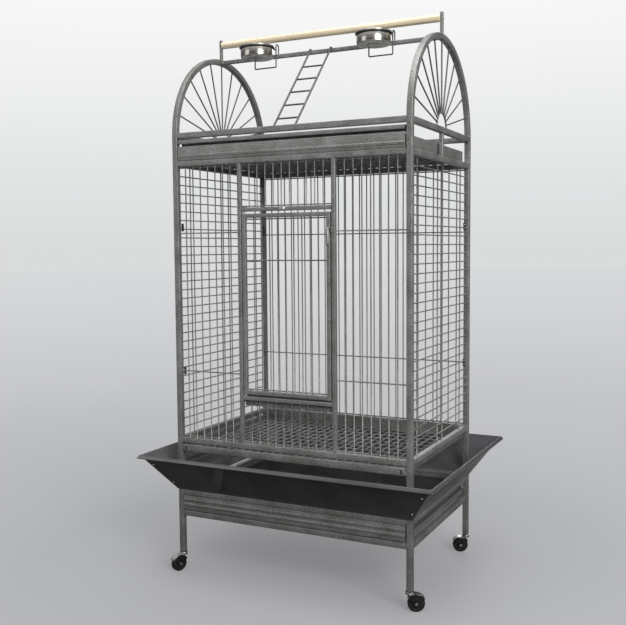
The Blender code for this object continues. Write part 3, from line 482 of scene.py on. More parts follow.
def wire(shape, start, end, diameter=WIRE, collars=(True, True)):
    """A straight round wire with a weld collar at each end that meets a tube."""
    start, end = Vector(start), Vector(end)
    run = (end - start).normalized()
    step = run * COLLAR
    normal = (Z if abs(run.z) < 0.9 else X).cross(run).normalized()
    first, last = [1.5 if collar else 1.0 for collar in collars]
    path = [start, start + step, end - step, end]
    sweep(shape, path, circle(diameter), normal, sizes=[first, 1.0, 1.0, last])


def nugget(shape, point, radius=0.0023):
    place = Matrix.Translation(point)
    bmesh.ops.create_icosphere(shape, subdivisions=1, radius=radius, matrix=place)


def welded(shape, bars, ties, collars=(True, True)):
    """Bars, ties across them, and a nugget at each crossing."""
    for start, end in [*bars, *ties]:
        wire(shape, start, end, collars=collars)
    for a, b in bars:
        for c, d in ties:
            near, across = intersect_line_line(Vector(a), Vector(b), Vector(c), Vector(d))
            nugget(shape, (near + across) / 2)


def screw(shape, point, out, radius=0.0035):
    """A button-head screw with a hexagon socket, sunk a little into what it holds."""
    place = facing(point, out)
    dome = [(radius, -0.0006), (radius, 0.0003), (radius * 0.9, radius * 0.35), (radius * 0.6, radius * 0.55)]
    turn(shape, place, dome, 24)
    turn(shape, place, [(radius * 0.5, 0.0), (radius * 0.5, radius * 0.62), (radius * 0.4, radius * 0.62)], 6)


def strip(shape, foot, width, depth, height):
    """An upright strip of sheet, from the middle of its foot."""
    stack(shape, Matrix.Translation(foot), width, depth, 0.0004, [(0, 0), (0, height)], 2)


print("tube", TUBE, "wire", WIRE, "sheet", SHEET)

# %% [markdown]
# ## The stand
# Four legs of 18 mm square tube stand on the casters, tied by a lower and an upper ring of rails. The
# drawer's angles lie between the rings. Everything is welded on the inside and ground flush outside.
# Thin strips under the upper rails and under the angles keep the drawer from rattling sideways, and
# two tabs under the back rail stop it.

# %% Legs
leg_low, leg_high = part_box("leg_front_right")
POST_X = (leg_low.x + leg_high.x) / 2
POST_Y = -(leg_low.y + leg_high.y) / 2
HALF_W, HALF_D = leg_high.x, -leg_low.y
INNER_X, INNER_Y = HALF_W - TUBE, HALF_D - TUBE
LEG_BOTTOM, LEG_TOP = leg_low.z, leg_high.z
HANDS, ENDS = (("left", -1), ("right", 1)), (("front", -1), ("back", 1))
CORNERS = {f"{end}_{hand}": (x * POST_X, y * POST_Y) for end, y in ENDS for hand, x in HANDS}
PLUG = mm((1.2, 0), (0, 0.5), (0, 1), (1, 1.4), (1, 10))

inserts = bmesh.new()
for corner, (x, y) in CORNERS.items():
    shape = bmesh.new()
    tube(shape, (x, y, LEG_BOTTOM + 0.0012), (x, y, LEG_TOP))
    part(f"leg_{corner}", "tube", shape)
    stack(inserts, Matrix.Translation((x, y, LEG_BOTTOM)), TUBE, TUBE, CORNER, PLUG)
piece("leg_inserts", inserts, nylon, "leg_front_left", False)

# %% Rails and runners
RAILS = {"front": (X, -Y), "back": (X, Y), "left": (Y, -X), "right": (Y, X)}
STRIP_DROP, STRIP_HEIGHT, STRIP_SHORT = 0.005, 0.009, 0.008
TAB_DROP, TAB_HEIGHT, TAB_WIDTH, TAB_INSET = 0.034, 0.037, 0.022, 0.0109
for level in ("lower", "upper"):
    for side, (along, out) in RAILS.items():
        node = f"rail_{level}_{side}"
        low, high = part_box(node)
        middle = (low + high) / 2
        reach = along * ((INNER_X if along is X else INNER_Y) - GAP)
        shape = bmesh.new()
        tube(shape, middle - reach, middle + reach)
        joint(shape, middle - reach, along, TUBE, (out, Z))
        joint(shape, middle + reach, along, TUBE, (out, Z))
        if level == "upper" and along is Y:
            foot = (out.x * (INNER_X - SHEET / 2 + 0.0002), 0, low.z - STRIP_DROP)
            strip(shape, foot, SHEET, 2 * INNER_Y - STRIP_SHORT, STRIP_HEIGHT)
        if node == "rail_upper_back":
            foot = (0, INNER_Y - SHEET / 2 + 0.0002, low.z - STRIP_DROP)
            strip(shape, foot, 2 * INNER_X - STRIP_SHORT, SHEET, STRIP_HEIGHT)
            for end in (-1, 1):
                foot = (end * (INNER_X - TAB_INSET), INNER_Y - SHEET / 2 + 0.0001, low.z - TAB_DROP)
                strip(shape, foot, TAB_WIDTH, SHEET, TAB_HEIGHT)
        part(node, "tube", shape)

RAIL_TOP_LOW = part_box("rail_lower_left")[1].z
for node in ("tray_runner_left", "tray_runner_right", "grate_runner_left", "grate_runner_right"):
    low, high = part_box(node)
    side = 1 if low.x > 0 else -1
    outer, inner = (high.x, low.x) if side > 0 else (low.x, high.x)
    wall_x, ledge_z = outer - side * SHEET / 2, low.z + SHEET / 2
    shape = bmesh.new()
    ledge = bend([(inner, ledge_z, 0), (wall_x, ledge_z, 0), (wall_x, high.z, 0)], 0.0016, 4)
    formed(shape, ledge, SHEET, lambda p, end: Vector((p.x, high.y if end > 0 else low.y, p.y)))
    if node.startswith("tray"):
        foot = (wall_x, (low.y + high.y) / 2, RAIL_TOP_LOW - 0.004)
        strip(shape, foot, SHEET, high.y - low.y, low.z + 0.003 - RAIL_TOP_LOW)
    part(node, "angle", shape)
print("stand", round(LEG_BOTTOM, 4), "to", round(LEG_TOP, 4))

# %% [markdown]
# ## The drawers and the grate
# The bottom drawer is a pan pressed from sheet with its rim folded inwards, and its front is a plate
# with two rolled beads that stiffen it. The grate over it is welded wire on cross rods, and a folded
# plate with a slot at each end pulls it out. Each slot is drawn as a thin black plug, which the eye
# takes for the dark behind a hole.

# %% Bottom drawer
PAN_ROUND, PAN_RIM, PLATE_FOLD, PLATE_BEAD = 0.003, 0.0034, 0.004, 0.0020


def pan(shape, low, high):
    """A sheet pan with a rolled rim, as a stack of outlines that goes up outside and down inside."""
    wall = high.z - low.z
    base = (0, 0.4, 0.8, 1.2, math.pi / 2)
    profile = [(PAN_ROUND * (1 - math.sin(t)), PAN_ROUND * (1 - math.cos(t))) for t in base]
    profile += [(0, wall - 0.001), (0.0006, wall), (PAN_RIM - 0.0006, wall)]
    profile += [(PAN_RIM, wall - 0.0008), (PAN_RIM, wall - 0.0042), (SHEET, wall - 0.005)]
    profile += [(SHEET, PAN_ROUND), (SHEET + 0.001, SHEET + 0.0006), (SHEET + 0.003, SHEET)]
    place = Matrix.Translation(((low.x + high.x) / 2, (low.y + high.y) / 2, low.z))
    stack(shape, place, high.x - low.x, high.y - low.y, 0.004, profile)


def rolled_bead(face, z, depth):
    """The side view of a bead rolled out of a plate's face."""
    return [(face, z - 0.005), (face - depth, z - 0.0025), (face - depth, z + 0.0025), (face, z + 0.005)]


def plate_path(face, bottom, top, beads):
    """The side view of a front plate: folded back at the top and the bottom, with rolled beads."""
    inside = face + SHEET / 2
    corners = [(inside + PLATE_FOLD, bottom + SHEET / 2), (inside, bottom + SHEET / 2)]
    for z in beads:
        corners += rolled_bead(inside, z, PLATE_BEAD)
    corners += [(inside, top - SHEET / 2), (inside + PLATE_FOLD, top - SHEET / 2)]
    return bend([(y, z, 0) for y, z in corners], 0.0018, 3)


def front_plate(shape, half, path):
    formed(shape, path, SHEET, lambda p, end: Vector((end * half, p.x, p.y)))


tray_low, tray_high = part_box("bottom_tray")
pan_half = INNER_X - GAP - SHEET - 0.0015
pan_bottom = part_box("tray_runner_left")[0].z + SHEET + GAP
FACE = -HALF_D
shape = bmesh.new()
pan(shape, Vector((-pan_half, FACE + SHEET, pan_bottom)), Vector((pan_half, tray_high.y, tray_high.z)))
# The darker coat on the pan is painted shade, for the dark under the skirt.
part("bottom_tray", "pan", shape, dark_coat_and_pan_shade)
middle = (tray_low.z + tray_high.z) / 2
shape = bmesh.new()
front_plate(shape, tray_high.x, plate_path(FACE, tray_low.z, tray_high.z, (middle - 0.006, middle + 0.011)))
part("bottom_tray", "front", shape, stands_for=False)

# %% Floor grate
GRATE_BARS, GRATE_RODS = 27, 11
grate_low, grate_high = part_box("floor_grate")
rod_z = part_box("grate_runner_left")[0].z + SHEET + GAP + WIRE / 2
wire_z = rod_z + WIRE - 0.0004
shape = bmesh.new()
spots = spaced(-pan_half, pan_half, GRATE_BARS)
bars = [((x, FACE + 2 * SHEET, wire_z), (x, grate_high.y, wire_z)) for x in spots]
spots = [*spaced(FACE, grate_high.y, GRATE_RODS), grate_high.y - WIRE / 2]
welded(shape, bars, [((-pan_half, y, rod_z), (pan_half, y, rod_z)) for y in spots], (True, False))
front_plate(shape, grate_high.x, plate_path(FACE, grate_low.z, grate_high.z, ()))
part("floor_grate", "wire", shape)

# Painted shade: each black nylon plug stands for the dark behind a slot in the plate.
slot_shade = bmesh.new()
for side in (-1, 1):
    place = facing((side * (grate_high.x - 0.012), FACE, (grate_low.z + grate_high.z) / 2), -Y)
    stack(slot_shade, place, 0.0055, 0.0150, 0.0027, mm((0, -0.5), (0, 0.2), (0.8, 0.3)))
part("floor_grate", "slot_shade", slot_shade, nylon, False)
print("grate wires", GRATE_BARS, "rods", GRATE_RODS)

# %% [markdown]
# ## The seed skirt
# Four black sheets catch the husks. Each is folded: a flange that lies on the stand, the slope, and at
# the top a narrow return that leans out and down, with its raw edge tucked under. The return faces the
# lamp overhead, so it draws a pale line round the skirt. They meet at mitred corners, where a narrow
# flange behind the seam takes two screws.

# %% Skirt sheets
SKIRT_OUT, SKIRT_FLANGE = 0.096, 0.012
RETURN_BOTTOM, RETURN_TOP, RETURN_REACH = 0.3850, 0.3968, 0.0080
EDGE_OUT = SKIRT_OUT - RETURN_REACH
skirt_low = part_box("skirt_front")[0].z
half_sheet = SHEET / 2
corners = [(-SKIRT_FLANGE, skirt_low + half_sheet), (0.001, skirt_low + half_sheet), (EDGE_OUT, RETURN_TOP)]
corners += [(SKIRT_OUT - half_sheet, RETURN_BOTTOM + half_sheet), (SKIRT_OUT - 0.0045, RETURN_BOTTOM)]
skirt_path = bend([(reach, z, 0) for reach, z in corners], 0.0014, 4)
SHEETS = {
    "front": (-Y, X, HALF_D, HALF_W),
    "back": (Y, -X, HALF_D, HALF_W),
    "left": (-X, -Y, HALF_W, HALF_D),
    "right": (X, Y, HALF_W, HALF_D),
}
for name, (out, along, distance, half_length) in SHEETS.items():

    def mitred(p, end):
        """A point of the path at one end of the sheet, which grows longer as it slopes out."""
        length = half_length + max(p.x, -0.001) - GAP
        return out * (distance + p.x) + along * (end * length) + Z * p.y

    shape = bmesh.new()
    formed(shape, skirt_path, SHEET, mitred)
    part(f"skirt_{name}", "sheet", shape, black_coat)

# %% Skirt seams and screws
SEAM_FLANGE, SEAM_ENDS, SEAM_SCREWS = 0.016, (0.06, 0.97), (0.2, 0.72)
seams = bmesh.new()
screws = bmesh.new()
for x, y in CORNERS.values():
    sx, sy = math.copysign(1, x), math.copysign(1, y)
    foot = Vector((sx * HALF_W, sy * HALF_D, skirt_low + SHEET))
    tip = Vector((sx * (HALF_W + EDGE_OUT), sy * (HALF_D + EDGE_OUT), RETURN_TOP))
    out = Vector((0, sy * (RETURN_TOP - skirt_low), -EDGE_OUT)).normalized()
    for share in SEAM_SCREWS:
        spot = foot.lerp(tip, share) - X * sx * 0.011 - Z * SHEET
        screw(screws, spot + out * 0.0002, out, 0.0032)
    start, end = [foot.lerp(tip, share) - out * 0.0004 for share in SEAM_ENDS]
    flange = [start, start - X * sx * SEAM_FLANGE, end - X * sx * SEAM_FLANGE, end]
    loft(seams, [[p - out * t for p in flange] for t in (0.0, SHEET)])
piece("skirt_corner_flanges", seams, black_coat, "skirt_front", False)
piece("skirt_screws", screws, zinc, "skirt_front", False)
print("skirt reaches", round(HALF_W + SKIRT_OUT, 4))

# %% [markdown]
# ## The barred body
# Each side of the body is a frame of tube with wire welded in it. The left and right sides carry the
# corner posts, and hold thirty level bars with four uprights behind them. The front and the back hang
# between them with upright bars. Close spacing is what makes it a parrot cage, so every bar is there.
# A strip under the back panel stops the grate when it is pushed home, and a sheet behind the sill is
# what the door closes against.

# %% Side panels
BODY_BOTTOM, BODY_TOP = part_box("side_panel_left")[0].z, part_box("side_panel_left")[1].z
LOW, HIGH = BODY_BOTTOM + TUBE, BODY_TOP - TUBE
SIDE_BARS, SIDE_TIES = 30, (-0.212, -0.024, 0.024, 0.212)
BESIDE = WIRE + GAP
for name, side in HANDS:
    x = side * POST_X
    shape = bmesh.new()
    for y in (-POST_Y, POST_Y):
        tube(shape, (x, y, BODY_BOTTOM), (x, y, BODY_TOP))
    for z in (LOW - TUBE / 2, HIGH + TUBE / 2):
        tube(shape, (x, -INNER_Y, z), (x, INNER_Y, z))
        for end in (-1, 1):
            joint(shape, (x, end * INNER_Y, z), Y, TUBE, (X * side,))
    bars = [((x, -INNER_Y, z), (x, INNER_Y, z)) for z in spaced(LOW, HIGH, SIDE_BARS)]
    tie_x = x - side * BESIDE
    welded(shape, bars, [((tie_x, y, LOW), (tie_x, y, HIGH)) for y in SIDE_TIES])
    part(f"side_panel_{name}", "weldment", shape)

# %% Back panel
STIFFENERS, END_WIRE = (0.666, 1.111), 0.0042
BACK_BARS, GRATE_STOP = 27, 0.027
TIE_HEIGHTS = (LOW + END_WIRE, *STIFFENERS, HIGH - END_WIRE)


def uprights(spots, y, low, high):
    """Upright bars of the front or the back."""
    return [((x, y, low), (x, y, high)) for x in spots]


def levels(start, end, y, heights):
    """Level ties of the front or the back."""
    return [((start, y, z), (end, y, z)) for z in heights]


reach = INNER_X - GAP
shape = bmesh.new()
for z in (LOW - TUBE / 2, HIGH + TUBE / 2):
    tube(shape, (-reach, POST_Y, z), (reach, POST_Y, z))
bars = uprights(spaced(-INNER_X, INNER_X, BACK_BARS), POST_Y, LOW, HIGH)
welded(shape, bars, levels(-reach, reach, POST_Y - WIRE + 0.0004, TIE_HEIGHTS))
foot = (0, INNER_Y + SHEET / 2 + 0.0002, BODY_BOTTOM - GRATE_STOP)
strip(shape, foot, 2 * INNER_X - 0.002, SHEET, GRATE_STOP + 0.002)
part("back_panel", "weldment", shape)

# %% Front panels
FRONT_BARS, JAMB_X = 7, 0.161
JAMB_INNER, JAMB_OUTER = JAMB_X - DOOR_TUBE / 2, JAMB_X + DOOR_TUBE / 2
DOOR_Y = FACE + DOOR_TUBE / 2
TIE_Y = DOOR_Y + BESIDE
for name, side in HANDS:
    outer, jamb = side * (INNER_X - GAP), side * JAMB_OUTER
    shape = bmesh.new()
    for z in (LOW - TUBE / 2, HIGH + TUBE / 2):
        tube(shape, (outer, -POST_Y, z), (side * JAMB_INNER, -POST_Y, z))
    tube(shape, (side * JAMB_X, DOOR_Y, LOW), (side * JAMB_X, DOOR_Y, HIGH), DOOR_TUBE)
    for z in (LOW, HIGH):
        joint(shape, (side * JAMB_X, DOOR_Y, z), Z, DOOR_TUBE, (-Y, -X * side))
    bars = uprights(spaced(side * INNER_X, jamb, FRONT_BARS), DOOR_Y, LOW, HIGH)
    welded(shape, bars, levels(outer, jamb, TIE_Y, TIE_HEIGHTS))
    part(f"front_panel_{name}", "weldment", shape)

# %% Transom and sill
TRANSOM_BARS = 10
# How far the sheet behind the sill reaches below the sill's top and above it.
STOP_BELOW, STOP_ABOVE = 0.0315, 0.0048
reach = JAMB_INNER - GAP
transom_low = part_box("transom_panel")[0].z
sill_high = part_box("sill_panel")[1].z
HEADER_Z, SILL_Z = transom_low + DOOR_TUBE / 2, sill_high - DOOR_TUBE / 2
spots = spaced(-JAMB_INNER, JAMB_INNER, TRANSOM_BARS)
for name, rail_z, tube_z in (("transom", HIGH + TUBE / 2, HEADER_Z), ("sill", LOW - TUBE / 2, SILL_Z)):
    shape = bmesh.new()
    tube(shape, (-reach, -POST_Y, rail_z), (reach, -POST_Y, rail_z))
    tube(shape, (-reach, DOOR_Y, tube_z), (reach, DOOR_Y, tube_z), DOOR_TUBE)
    low, high = sorted((rail_z, tube_z))
    low += (TUBE if name == "sill" else DOOR_TUBE) / 2
    high -= (DOOR_TUBE if name == "sill" else TUBE) / 2
    ties = levels(-reach, reach, TIE_Y, (low + END_WIRE, high - END_WIRE))
    welded(shape, uprights(spots, DOOR_Y, low, high), ties)
    if name == "sill":
        foot = (0, DOOR_Y + DOOR_TUBE / 2 + SHEET / 2 + 0.0002, sill_high - STOP_BELOW)
        strip(shape, foot, 2 * reach - 0.002, SHEET, STOP_BELOW + STOP_ABOVE)
    part(f"{name}_panel", "weldment", shape)

# %% Roof grille
ROOF_RODS, ROOF_ROD_INSET = 7, 0.090
rod_z = BODY_TOP - GAP - WIRE / 2
bar_z = rod_z - WIRE + 0.0004
reach_x, reach_y = INNER_X - GAP, INNER_Y - GAP
rod_y = reach_y - ROOF_ROD_INSET
shape = bmesh.new()
bars = [((x, -reach_y, bar_z), (x, reach_y, bar_z)) for x in spaced(-INNER_X, INNER_X, BACK_BARS)]
spots = [-rod_y + 2 * rod_y * k / (ROOF_RODS - 1) for k in range(ROOF_RODS)]
welded(shape, bars, [((-reach_x, y, rod_z), (reach_x, y, rod_z)) for y in spots])
part("roof_grille", "wire", shape)
print("bars in the body", 2 * SIDE_BARS + 2 * BACK_BARS + 2 * FRONT_BARS + 2 * TRANSOM_BARS)

# %% [markdown]
# ## Clips and hook plates
# Small clips of black nylon, each with two screws, hold the front and the back between the corner
# posts, one by each stiffening rod. Two larger plates of coated steel at the back end of the left side
# are where a feeder would be hooked.

# %% Panel clips and hook plates
CLIP_HEIGHTS, HOOK_PLATES = (0.665, 1.130), (1.311, 1.128)
EASED = mm((0.6, 0), (0, 0.5), (0, 1.8), (0.6, 2.4))
clips = bmesh.new()
clip_screws = bmesh.new()
for side in (-1, 1):
    for end in (-1, 1):
        inset, depth = (0.0052, 0.0015) if end < 0 and side < 0 else (-0.0030, 0.0)
        for z in CLIP_HEIGHTS:
            place = facing((side * (INNER_X - inset), end * (INNER_Y + depth), z), (0, -end, 0))
            stack(clips, place, 0.0088, 0.025, 0.002, EASED)
            for up in (0.006, -0.006):
                screw(clip_screws, place @ Vector((0, up, 0.0024)), (0, -end, 0), 0.0026)
piece("panel_clips", clips, nylon, "back_panel", False)
hooks = bmesh.new()
for z in HOOK_PLATES:
    place = facing((-POST_X + TUBE / 2 - 0.002, INNER_Y - 0.014, z), X)
    stack(hooks, place, 0.026, 0.034, 0.003, EASED)
    for end in (-1, 1):
        stud = place @ Matrix.Translation((end * 0.007, -0.019, 0.0012))
        turn(hooks, stud, mm((3.6, -1), (3.6, 3), (2.4, 4)), 16)
piece("hook_plates", hooks, dark_coat_and_pan_shade, "side_panel_left", False)
piece("panel_clip_screws", clip_screws, zinc, "back_panel", False)

# %% [markdown]
# ## The door and its catches
# The door is a frame of lighter tube on two pivot pins. A plate on its right stile carries a lever
# that swings over a keeper on the jamb, and a turn button on the header drops over the door's top.

# %% Door
DOOR_BARS, DOOR_STIFFENER = 9, 1.024
door_low, door_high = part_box("door")
stile_left, stile_right = door_low.x + DOOR_TUBE / 2, door_high.x - DOOR_TUBE / 2
rail_low, rail_high = door_low.z + DOOR_TUBE / 2, door_high.z - DOOR_TUBE / 2
inner_left, inner_right = stile_left + DOOR_TUBE / 2, stile_right - DOOR_TUBE / 2
shape = bmesh.new()
for x in (stile_left, stile_right):
    tube(shape, (x, DOOR_Y, door_low.z), (x, DOOR_Y, door_high.z), DOOR_TUBE)
for z, edge in ((rail_low, -Z), (rail_high, Z)):
    tube(shape, (inner_left, DOOR_Y, z), (inner_right, DOOR_Y, z), DOOR_TUBE)
    for x in (inner_left, inner_right):
        joint(shape, (x, DOOR_Y, z), X, DOOR_TUBE, (-Y, edge))
low, high = rail_low + DOOR_TUBE / 2, rail_high - DOOR_TUBE / 2
bars = uprights(spaced(inner_left, inner_right, DOOR_BARS), DOOR_Y, low, high)
heights = (low + END_WIRE, DOOR_STIFFENER, high - END_WIRE)
welded(shape, bars, levels(inner_left, inner_right, TIE_Y, heights))
part("door", "weldment", shape)

for node in ("door_pivot_top", "door_pivot_bottom"):
    low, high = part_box(node)
    middle, radius, length = (low + high) / 2, (high.x - low.x) / 2, high.z - low.z
    shape = bmesh.new()
    pin = [(radius * 0.8, 0), (radius, 0.0006), (radius, length - 0.0006), (radius * 0.8, length)]
    turn(shape, Matrix.Translation((middle.x, middle.y, low.z)), pin, 24)
    part(node, "pin", shape, zinc)
print("door opens", round(door_high.x - door_low.x, 4), "wide")

# %% Latch
low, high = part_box("latch_plate")
depth = high.y - low.y
place = facing(((low.x + high.x) / 2, high.y, (low.z + high.z) / 2), -Y)
rim = [(0.0004, 0), (0, 0.0003), (0, depth - 0.0004), (0.0004, depth)]
shape = bmesh.new()
stack(shape, place, high.x - low.x, high.z - low.z, 0.0025, rim)
part("latch_plate", "sheet", shape)

PIVOT_Z, LEVER_WIDTH = 1.1165, 0.0052
BOSS = mm((4.2, 0), (4.6, 0.4), (4.6, 3), (3.8, 4), (2.2, 4.4), (1.6, 3.6))
BAR_EDGE = mm((0.4, 0), (0, 0.4), (0, 1.7), (0.5, 2.2))
low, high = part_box("latch_lever")
lever_x, length = (low.x + high.x) / 2, PIVOT_Z - low.z
shape = bmesh.new()
turn(shape, facing((lever_x, high.y, PIVOT_Z), -Y), BOSS, 28)
place = facing((lever_x, high.y, PIVOT_Z - length / 2), -Y)
stack(shape, place, LEVER_WIDTH, length, LEVER_WIDTH * 0.49, BAR_EDGE, 6)
part("latch_lever", "bar", shape, zinc)

low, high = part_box("latch_keeper")
front, back, top = low.y + SHEET / 2, high.y - SHEET / 2, high.z - SHEET / 2
hook = bend([(front, low.z, 0), (front, top, 0), (back, top, 0), (back, low.z, 0)], 0.0008, 3)
shape = bmesh.new()
formed(shape, hook, SHEET, lambda p, end: Vector((high.x if end > 0 else low.x, p.x, p.y)))
part("latch_keeper", "hook", shape)

# %% Turn button
TONGUE = mm((0.4, 0), (0, 0.4), (0, 2.2), (0.6, 2.8))
KNOB = mm((5.1, 0), (5.5, 0.4), (5.5, 2.2), (5.0, 2.8), (3.6, 3.2))
KNOB += mm((2.8, 4.6), (3.0, 6.0), (3.5, 7.0), (3.4, 8.2), (2.6, 9.0))
low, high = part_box("turn_button")
button_x = high.x - 0.0055
place = facing(((low.x + button_x) / 2 + 0.0015, high.y, HEADER_Z), -Y)
shape = bmesh.new()
stack(shape, place, button_x - low.x + 0.003, 0.007, 0.0034, TONGUE, 6)
turn(shape, facing((button_x, high.y, HEADER_Z), -Y), KNOB, 28)
part("turn_button", "knob", shape, zinc)

# %% [markdown]
# ## The play-top
# One length of tube makes each arch: up one side, round and down again. Eleven thin rods fan out from
# a small hub on the side rail. A bar joins the two arches for the bowls and the ladder, and the beech
# perch, 24 mm thick, sits above it between two uprights.

# %% Arches
ARCH_Z = (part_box("play_rail_front")[0].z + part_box("play_rail_front")[1].z) / 2
RAIL_TOP = ARCH_Z + TUBE / 2
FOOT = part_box("arch_left")[0].z
FAN_RODS, FAN_WIRE, HUB, HUB_WIRE = 11, 0.0048, 0.045, 0.0054
for name, side in HANDS:
    x = side * POST_X
    shape = bmesh.new()
    bow = [(x, -POST_Y * math.cos(t), ARCH_Z + POST_Y * math.sin(t)) for t in swing(math.pi, 60)]
    path = [(x, -POST_Y, FOOT), *bow, (x, POST_Y, FOOT)]
    sweep(shape, path, rounded(TUBE, TUBE, CORNER), X)
    tube(shape, (x, -INNER_Y, ARCH_Z), (x, INNER_Y, ARCH_Z))
    tube(shape, (x, 0, FOOT), (x, 0, ARCH_Z - TUBE / 2), DOOR_TUBE)
    joint(shape, (x, 0, ARCH_Z - TUBE / 2), Z, DOOR_TUBE, (X * side,))
    for end in (-1, 1):
        joint(shape, (x, end * INNER_Y, ARCH_Z), Y, TUBE, (X * side,))
    centre = Vector((x, 0, RAIL_TOP - 0.001))
    ring = [centre + HUB * (Y * math.cos(t) + Z * math.sin(t)) for t in swing(math.pi, 24)]
    sweep(shape, ring, circle(HUB_WIRE), X)
    fan = bmesh.new()
    for t in swing(math.pi, FAN_RODS + 1)[1:-1]:
        ray = Y * math.cos(t) + Z * math.sin(t)
        tip = Vector((x, 0, ARCH_Z)) + ray * (POST_Y - TUBE / 2)
        wire(fan, centre + ray * (HUB - 0.001), tip, FAN_WIRE)
        nugget(fan, centre + ray * HUB, 0.0031)
    for end in (-1, 1):
        nugget(shape, centre + Y * (end * HUB), 0.0032)
    part(f"arch_{name}", "weldment", shape)
    part(f"arch_{name}", "fan", fan, dark_coat_and_pan_shade, False)

# %% Play rails and top bar
for node, along in (("play_rail_front", -Y), ("play_rail_back", Y)):
    low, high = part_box(node)
    middle = (low + high) / 2
    shape = bmesh.new()
    tube(shape, (low.x, middle.y, middle.z), (high.x, middle.y, middle.z))
    for x in (low.x, high.x):
        joint(shape, (x, middle.y, middle.z), X, TUBE, (along, -Z if along.y < 0 else Z))
    part(node, "tube", shape)
bar_low, bar_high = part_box("top_bar")
BAR = bar_high.z - bar_low.z
BAR_Z = (bar_low.z + bar_high.z) / 2
shape = bmesh.new()
tube(shape, (bar_low.x, 0, BAR_Z), (bar_high.x, 0, BAR_Z), BAR, 0.0018)
for x in (bar_low.x, bar_high.x):
    joint(shape, (x, 0, BAR_Z), X, BAR)
part("top_bar", "tube", shape)

# %% Perch and its uprights
CAP = mm((0.8, -6), (0.8, 0), (0, 0.2), (0, 1), (1.2, 1.8))
caps = bmesh.new()
perch_screws = bmesh.new()
perch_low, perch_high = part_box("perch")
PERCH_Z = (perch_low.z + perch_high.z) / 2
for name, side in HANDS:
    node = f"perch_upright_{name}"
    low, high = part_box(node)
    x, width = (low.x + high.x) / 2, high.x - low.x
    shape = bmesh.new()
    tube(shape, (x, 0, low.z), (x, 0, high.z - 0.0016), width, 0.0014)
    joint(shape, (x, 0, low.z + 0.0008), Z, width)
    part(node, "tube", shape)
    stack(caps, Matrix.Translation((x, 0, high.z - 0.0018)), width, width, 0.0014, CAP)
    screw(perch_screws, (x + side * width / 2, 0, PERCH_Z), X * side, 0.0036)
piece("perch_upright_caps", caps, nylon, "perch_upright_left", False)
piece("perch_screws", perch_screws, zinc, "perch_upright_left", False)

DOWEL, DOWEL_STEPS, DOWEL_CHAMFER, LATHE_WAVE = 0.0238, 60, 0.0012, 0.00018
rings = []
for share in swing(1, DOWEL_STEPS):
    wave = LATHE_WAVE * math.sin(share * 23.0) * math.sin(share * 7.1)
    rings.append((DOWEL / 2 - wave, perch_low.x + (perch_high.x - perch_low.x) * share))
(first, start), (last, end) = rings[0], rings[-1]
rings[0], rings[-1] = (first, start + DOWEL_CHAMFER), (last, end - DOWEL_CHAMFER)
rings = [(first - DOWEL_CHAMFER, start), *rings, (last - DOWEL_CHAMFER, end)]
place = Matrix.Translation((0, 0, PERCH_Z + 0.0004)) @ Matrix.Rotation(math.pi / 2, 4, "Y")
shape = bmesh.new()
turn(shape, place, rings)
part("perch", "dowel", shape, beech)

# %% [markdown]
# ## The top tray
# A shallow drawer catches what falls from the play-top. Its front is one sheet folded many times: a
# fascia with a rolled bead, a ledge back over the pan, a riser, and a lip that comes forward again.
# The dark slot between the ledge and the lip is where fingers go in to pull the drawer out.

# %% Top tray
FASCIA_HEIGHT, TRAY_LEDGE, PULL_LIP, TRAY_WALL = 0.0447, 0.024, 0.0125, 0.040
low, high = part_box("top_tray")
shape = bmesh.new()
pan(shape, Vector((low.x, FACE + SHEET, low.z)), Vector((high.x, high.y, low.z + TRAY_WALL)))
inside, riser_y = FACE + SHEET / 2 + 0.0002, FACE + TRAY_LEDGE - SHEET / 2
ledge_z, top_z, lip_z = low.z + FASCIA_HEIGHT - SHEET / 2, high.z - SHEET / 2, high.z - PULL_LIP + SHEET / 2
corners = [(inside + 0.005, low.z + SHEET / 2), (inside, low.z + SHEET / 2)]
corners += rolled_bead(inside, low.z + 0.014, 0.0016)
corners += [(inside, ledge_z), (riser_y, ledge_z), (riser_y, top_z), (inside, top_z)]
corners += [(inside, lip_z), (inside + 0.004, lip_z)]
front_plate(shape, high.x, bend([(y, z, 0) for y, z in corners], 0.0016, 3))
part("top_tray", "sheet", shape)
print("top tray depth", round(high.y - low.y, 4))

# %% [markdown]
# ## Ladder, bowls and hangers
# The ladder is two bent rods hooked over the top bar with five rungs welded between, and its feet lean
# on the front play rail. Each bowl hangs in a ring of wire: one bent frame hooks over the bar, and two
# short links hold the ring off it. The bowl is spun, so it is one turned profile: a flat base, a
# rounded corner, a plain wall with a rolled rim that rests on the ring.

# %% Ladder
LADDER_ROD, LEG_SWELL, RUNG_SWELL = 0.005, 1.3, 1.1
RUNGS, FIRST_RUNG, RUNG_PITCH = 5, 0.196, 0.169
low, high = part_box("ladder")
clearance = GAP + LADDER_ROD / 2
top_z = BAR_Z + BAR / 2 + clearance
front_y, back_y = -BAR / 2 - clearance, BAR / 2 + clearance
foot = Vector((0, -INNER_Y + LADDER_ROD / 2, RAIL_TOP - 0.008))
shoulder = Vector((0, front_y - 0.004, BAR_Z - 0.004))
hook = [(0, back_y, BAR_Z - 0.004), (0, back_y, top_z), (0, front_y, top_z), (0, front_y, BAR_Z + 0.001)]
rod = bend([*hook, shoulder, foot], 0.0045, 6)
sizes = [1.0] * (len(rod) - 2) + [LEG_SWELL, LEG_SWELL]
sides = (low.x + LADDER_ROD / 2, high.x - LADDER_ROD / 2)
shape = bmesh.new()
for x in sides:
    sweep(shape, [point + X * x for point in rod], circle(LADDER_ROD, 14), X, sizes=sizes)
for k in range(RUNGS):
    point = shoulder.lerp(foot, FIRST_RUNG + RUNG_PITCH * k)
    wire(shape, point + X * sides[0], point + X * sides[1], LADDER_ROD * RUNG_SWELL, (False, False))
    for x, inward in zip(sides, (0.0014, -0.0014)):
        nugget(shape, point + X * (x + inward), 0.0031)
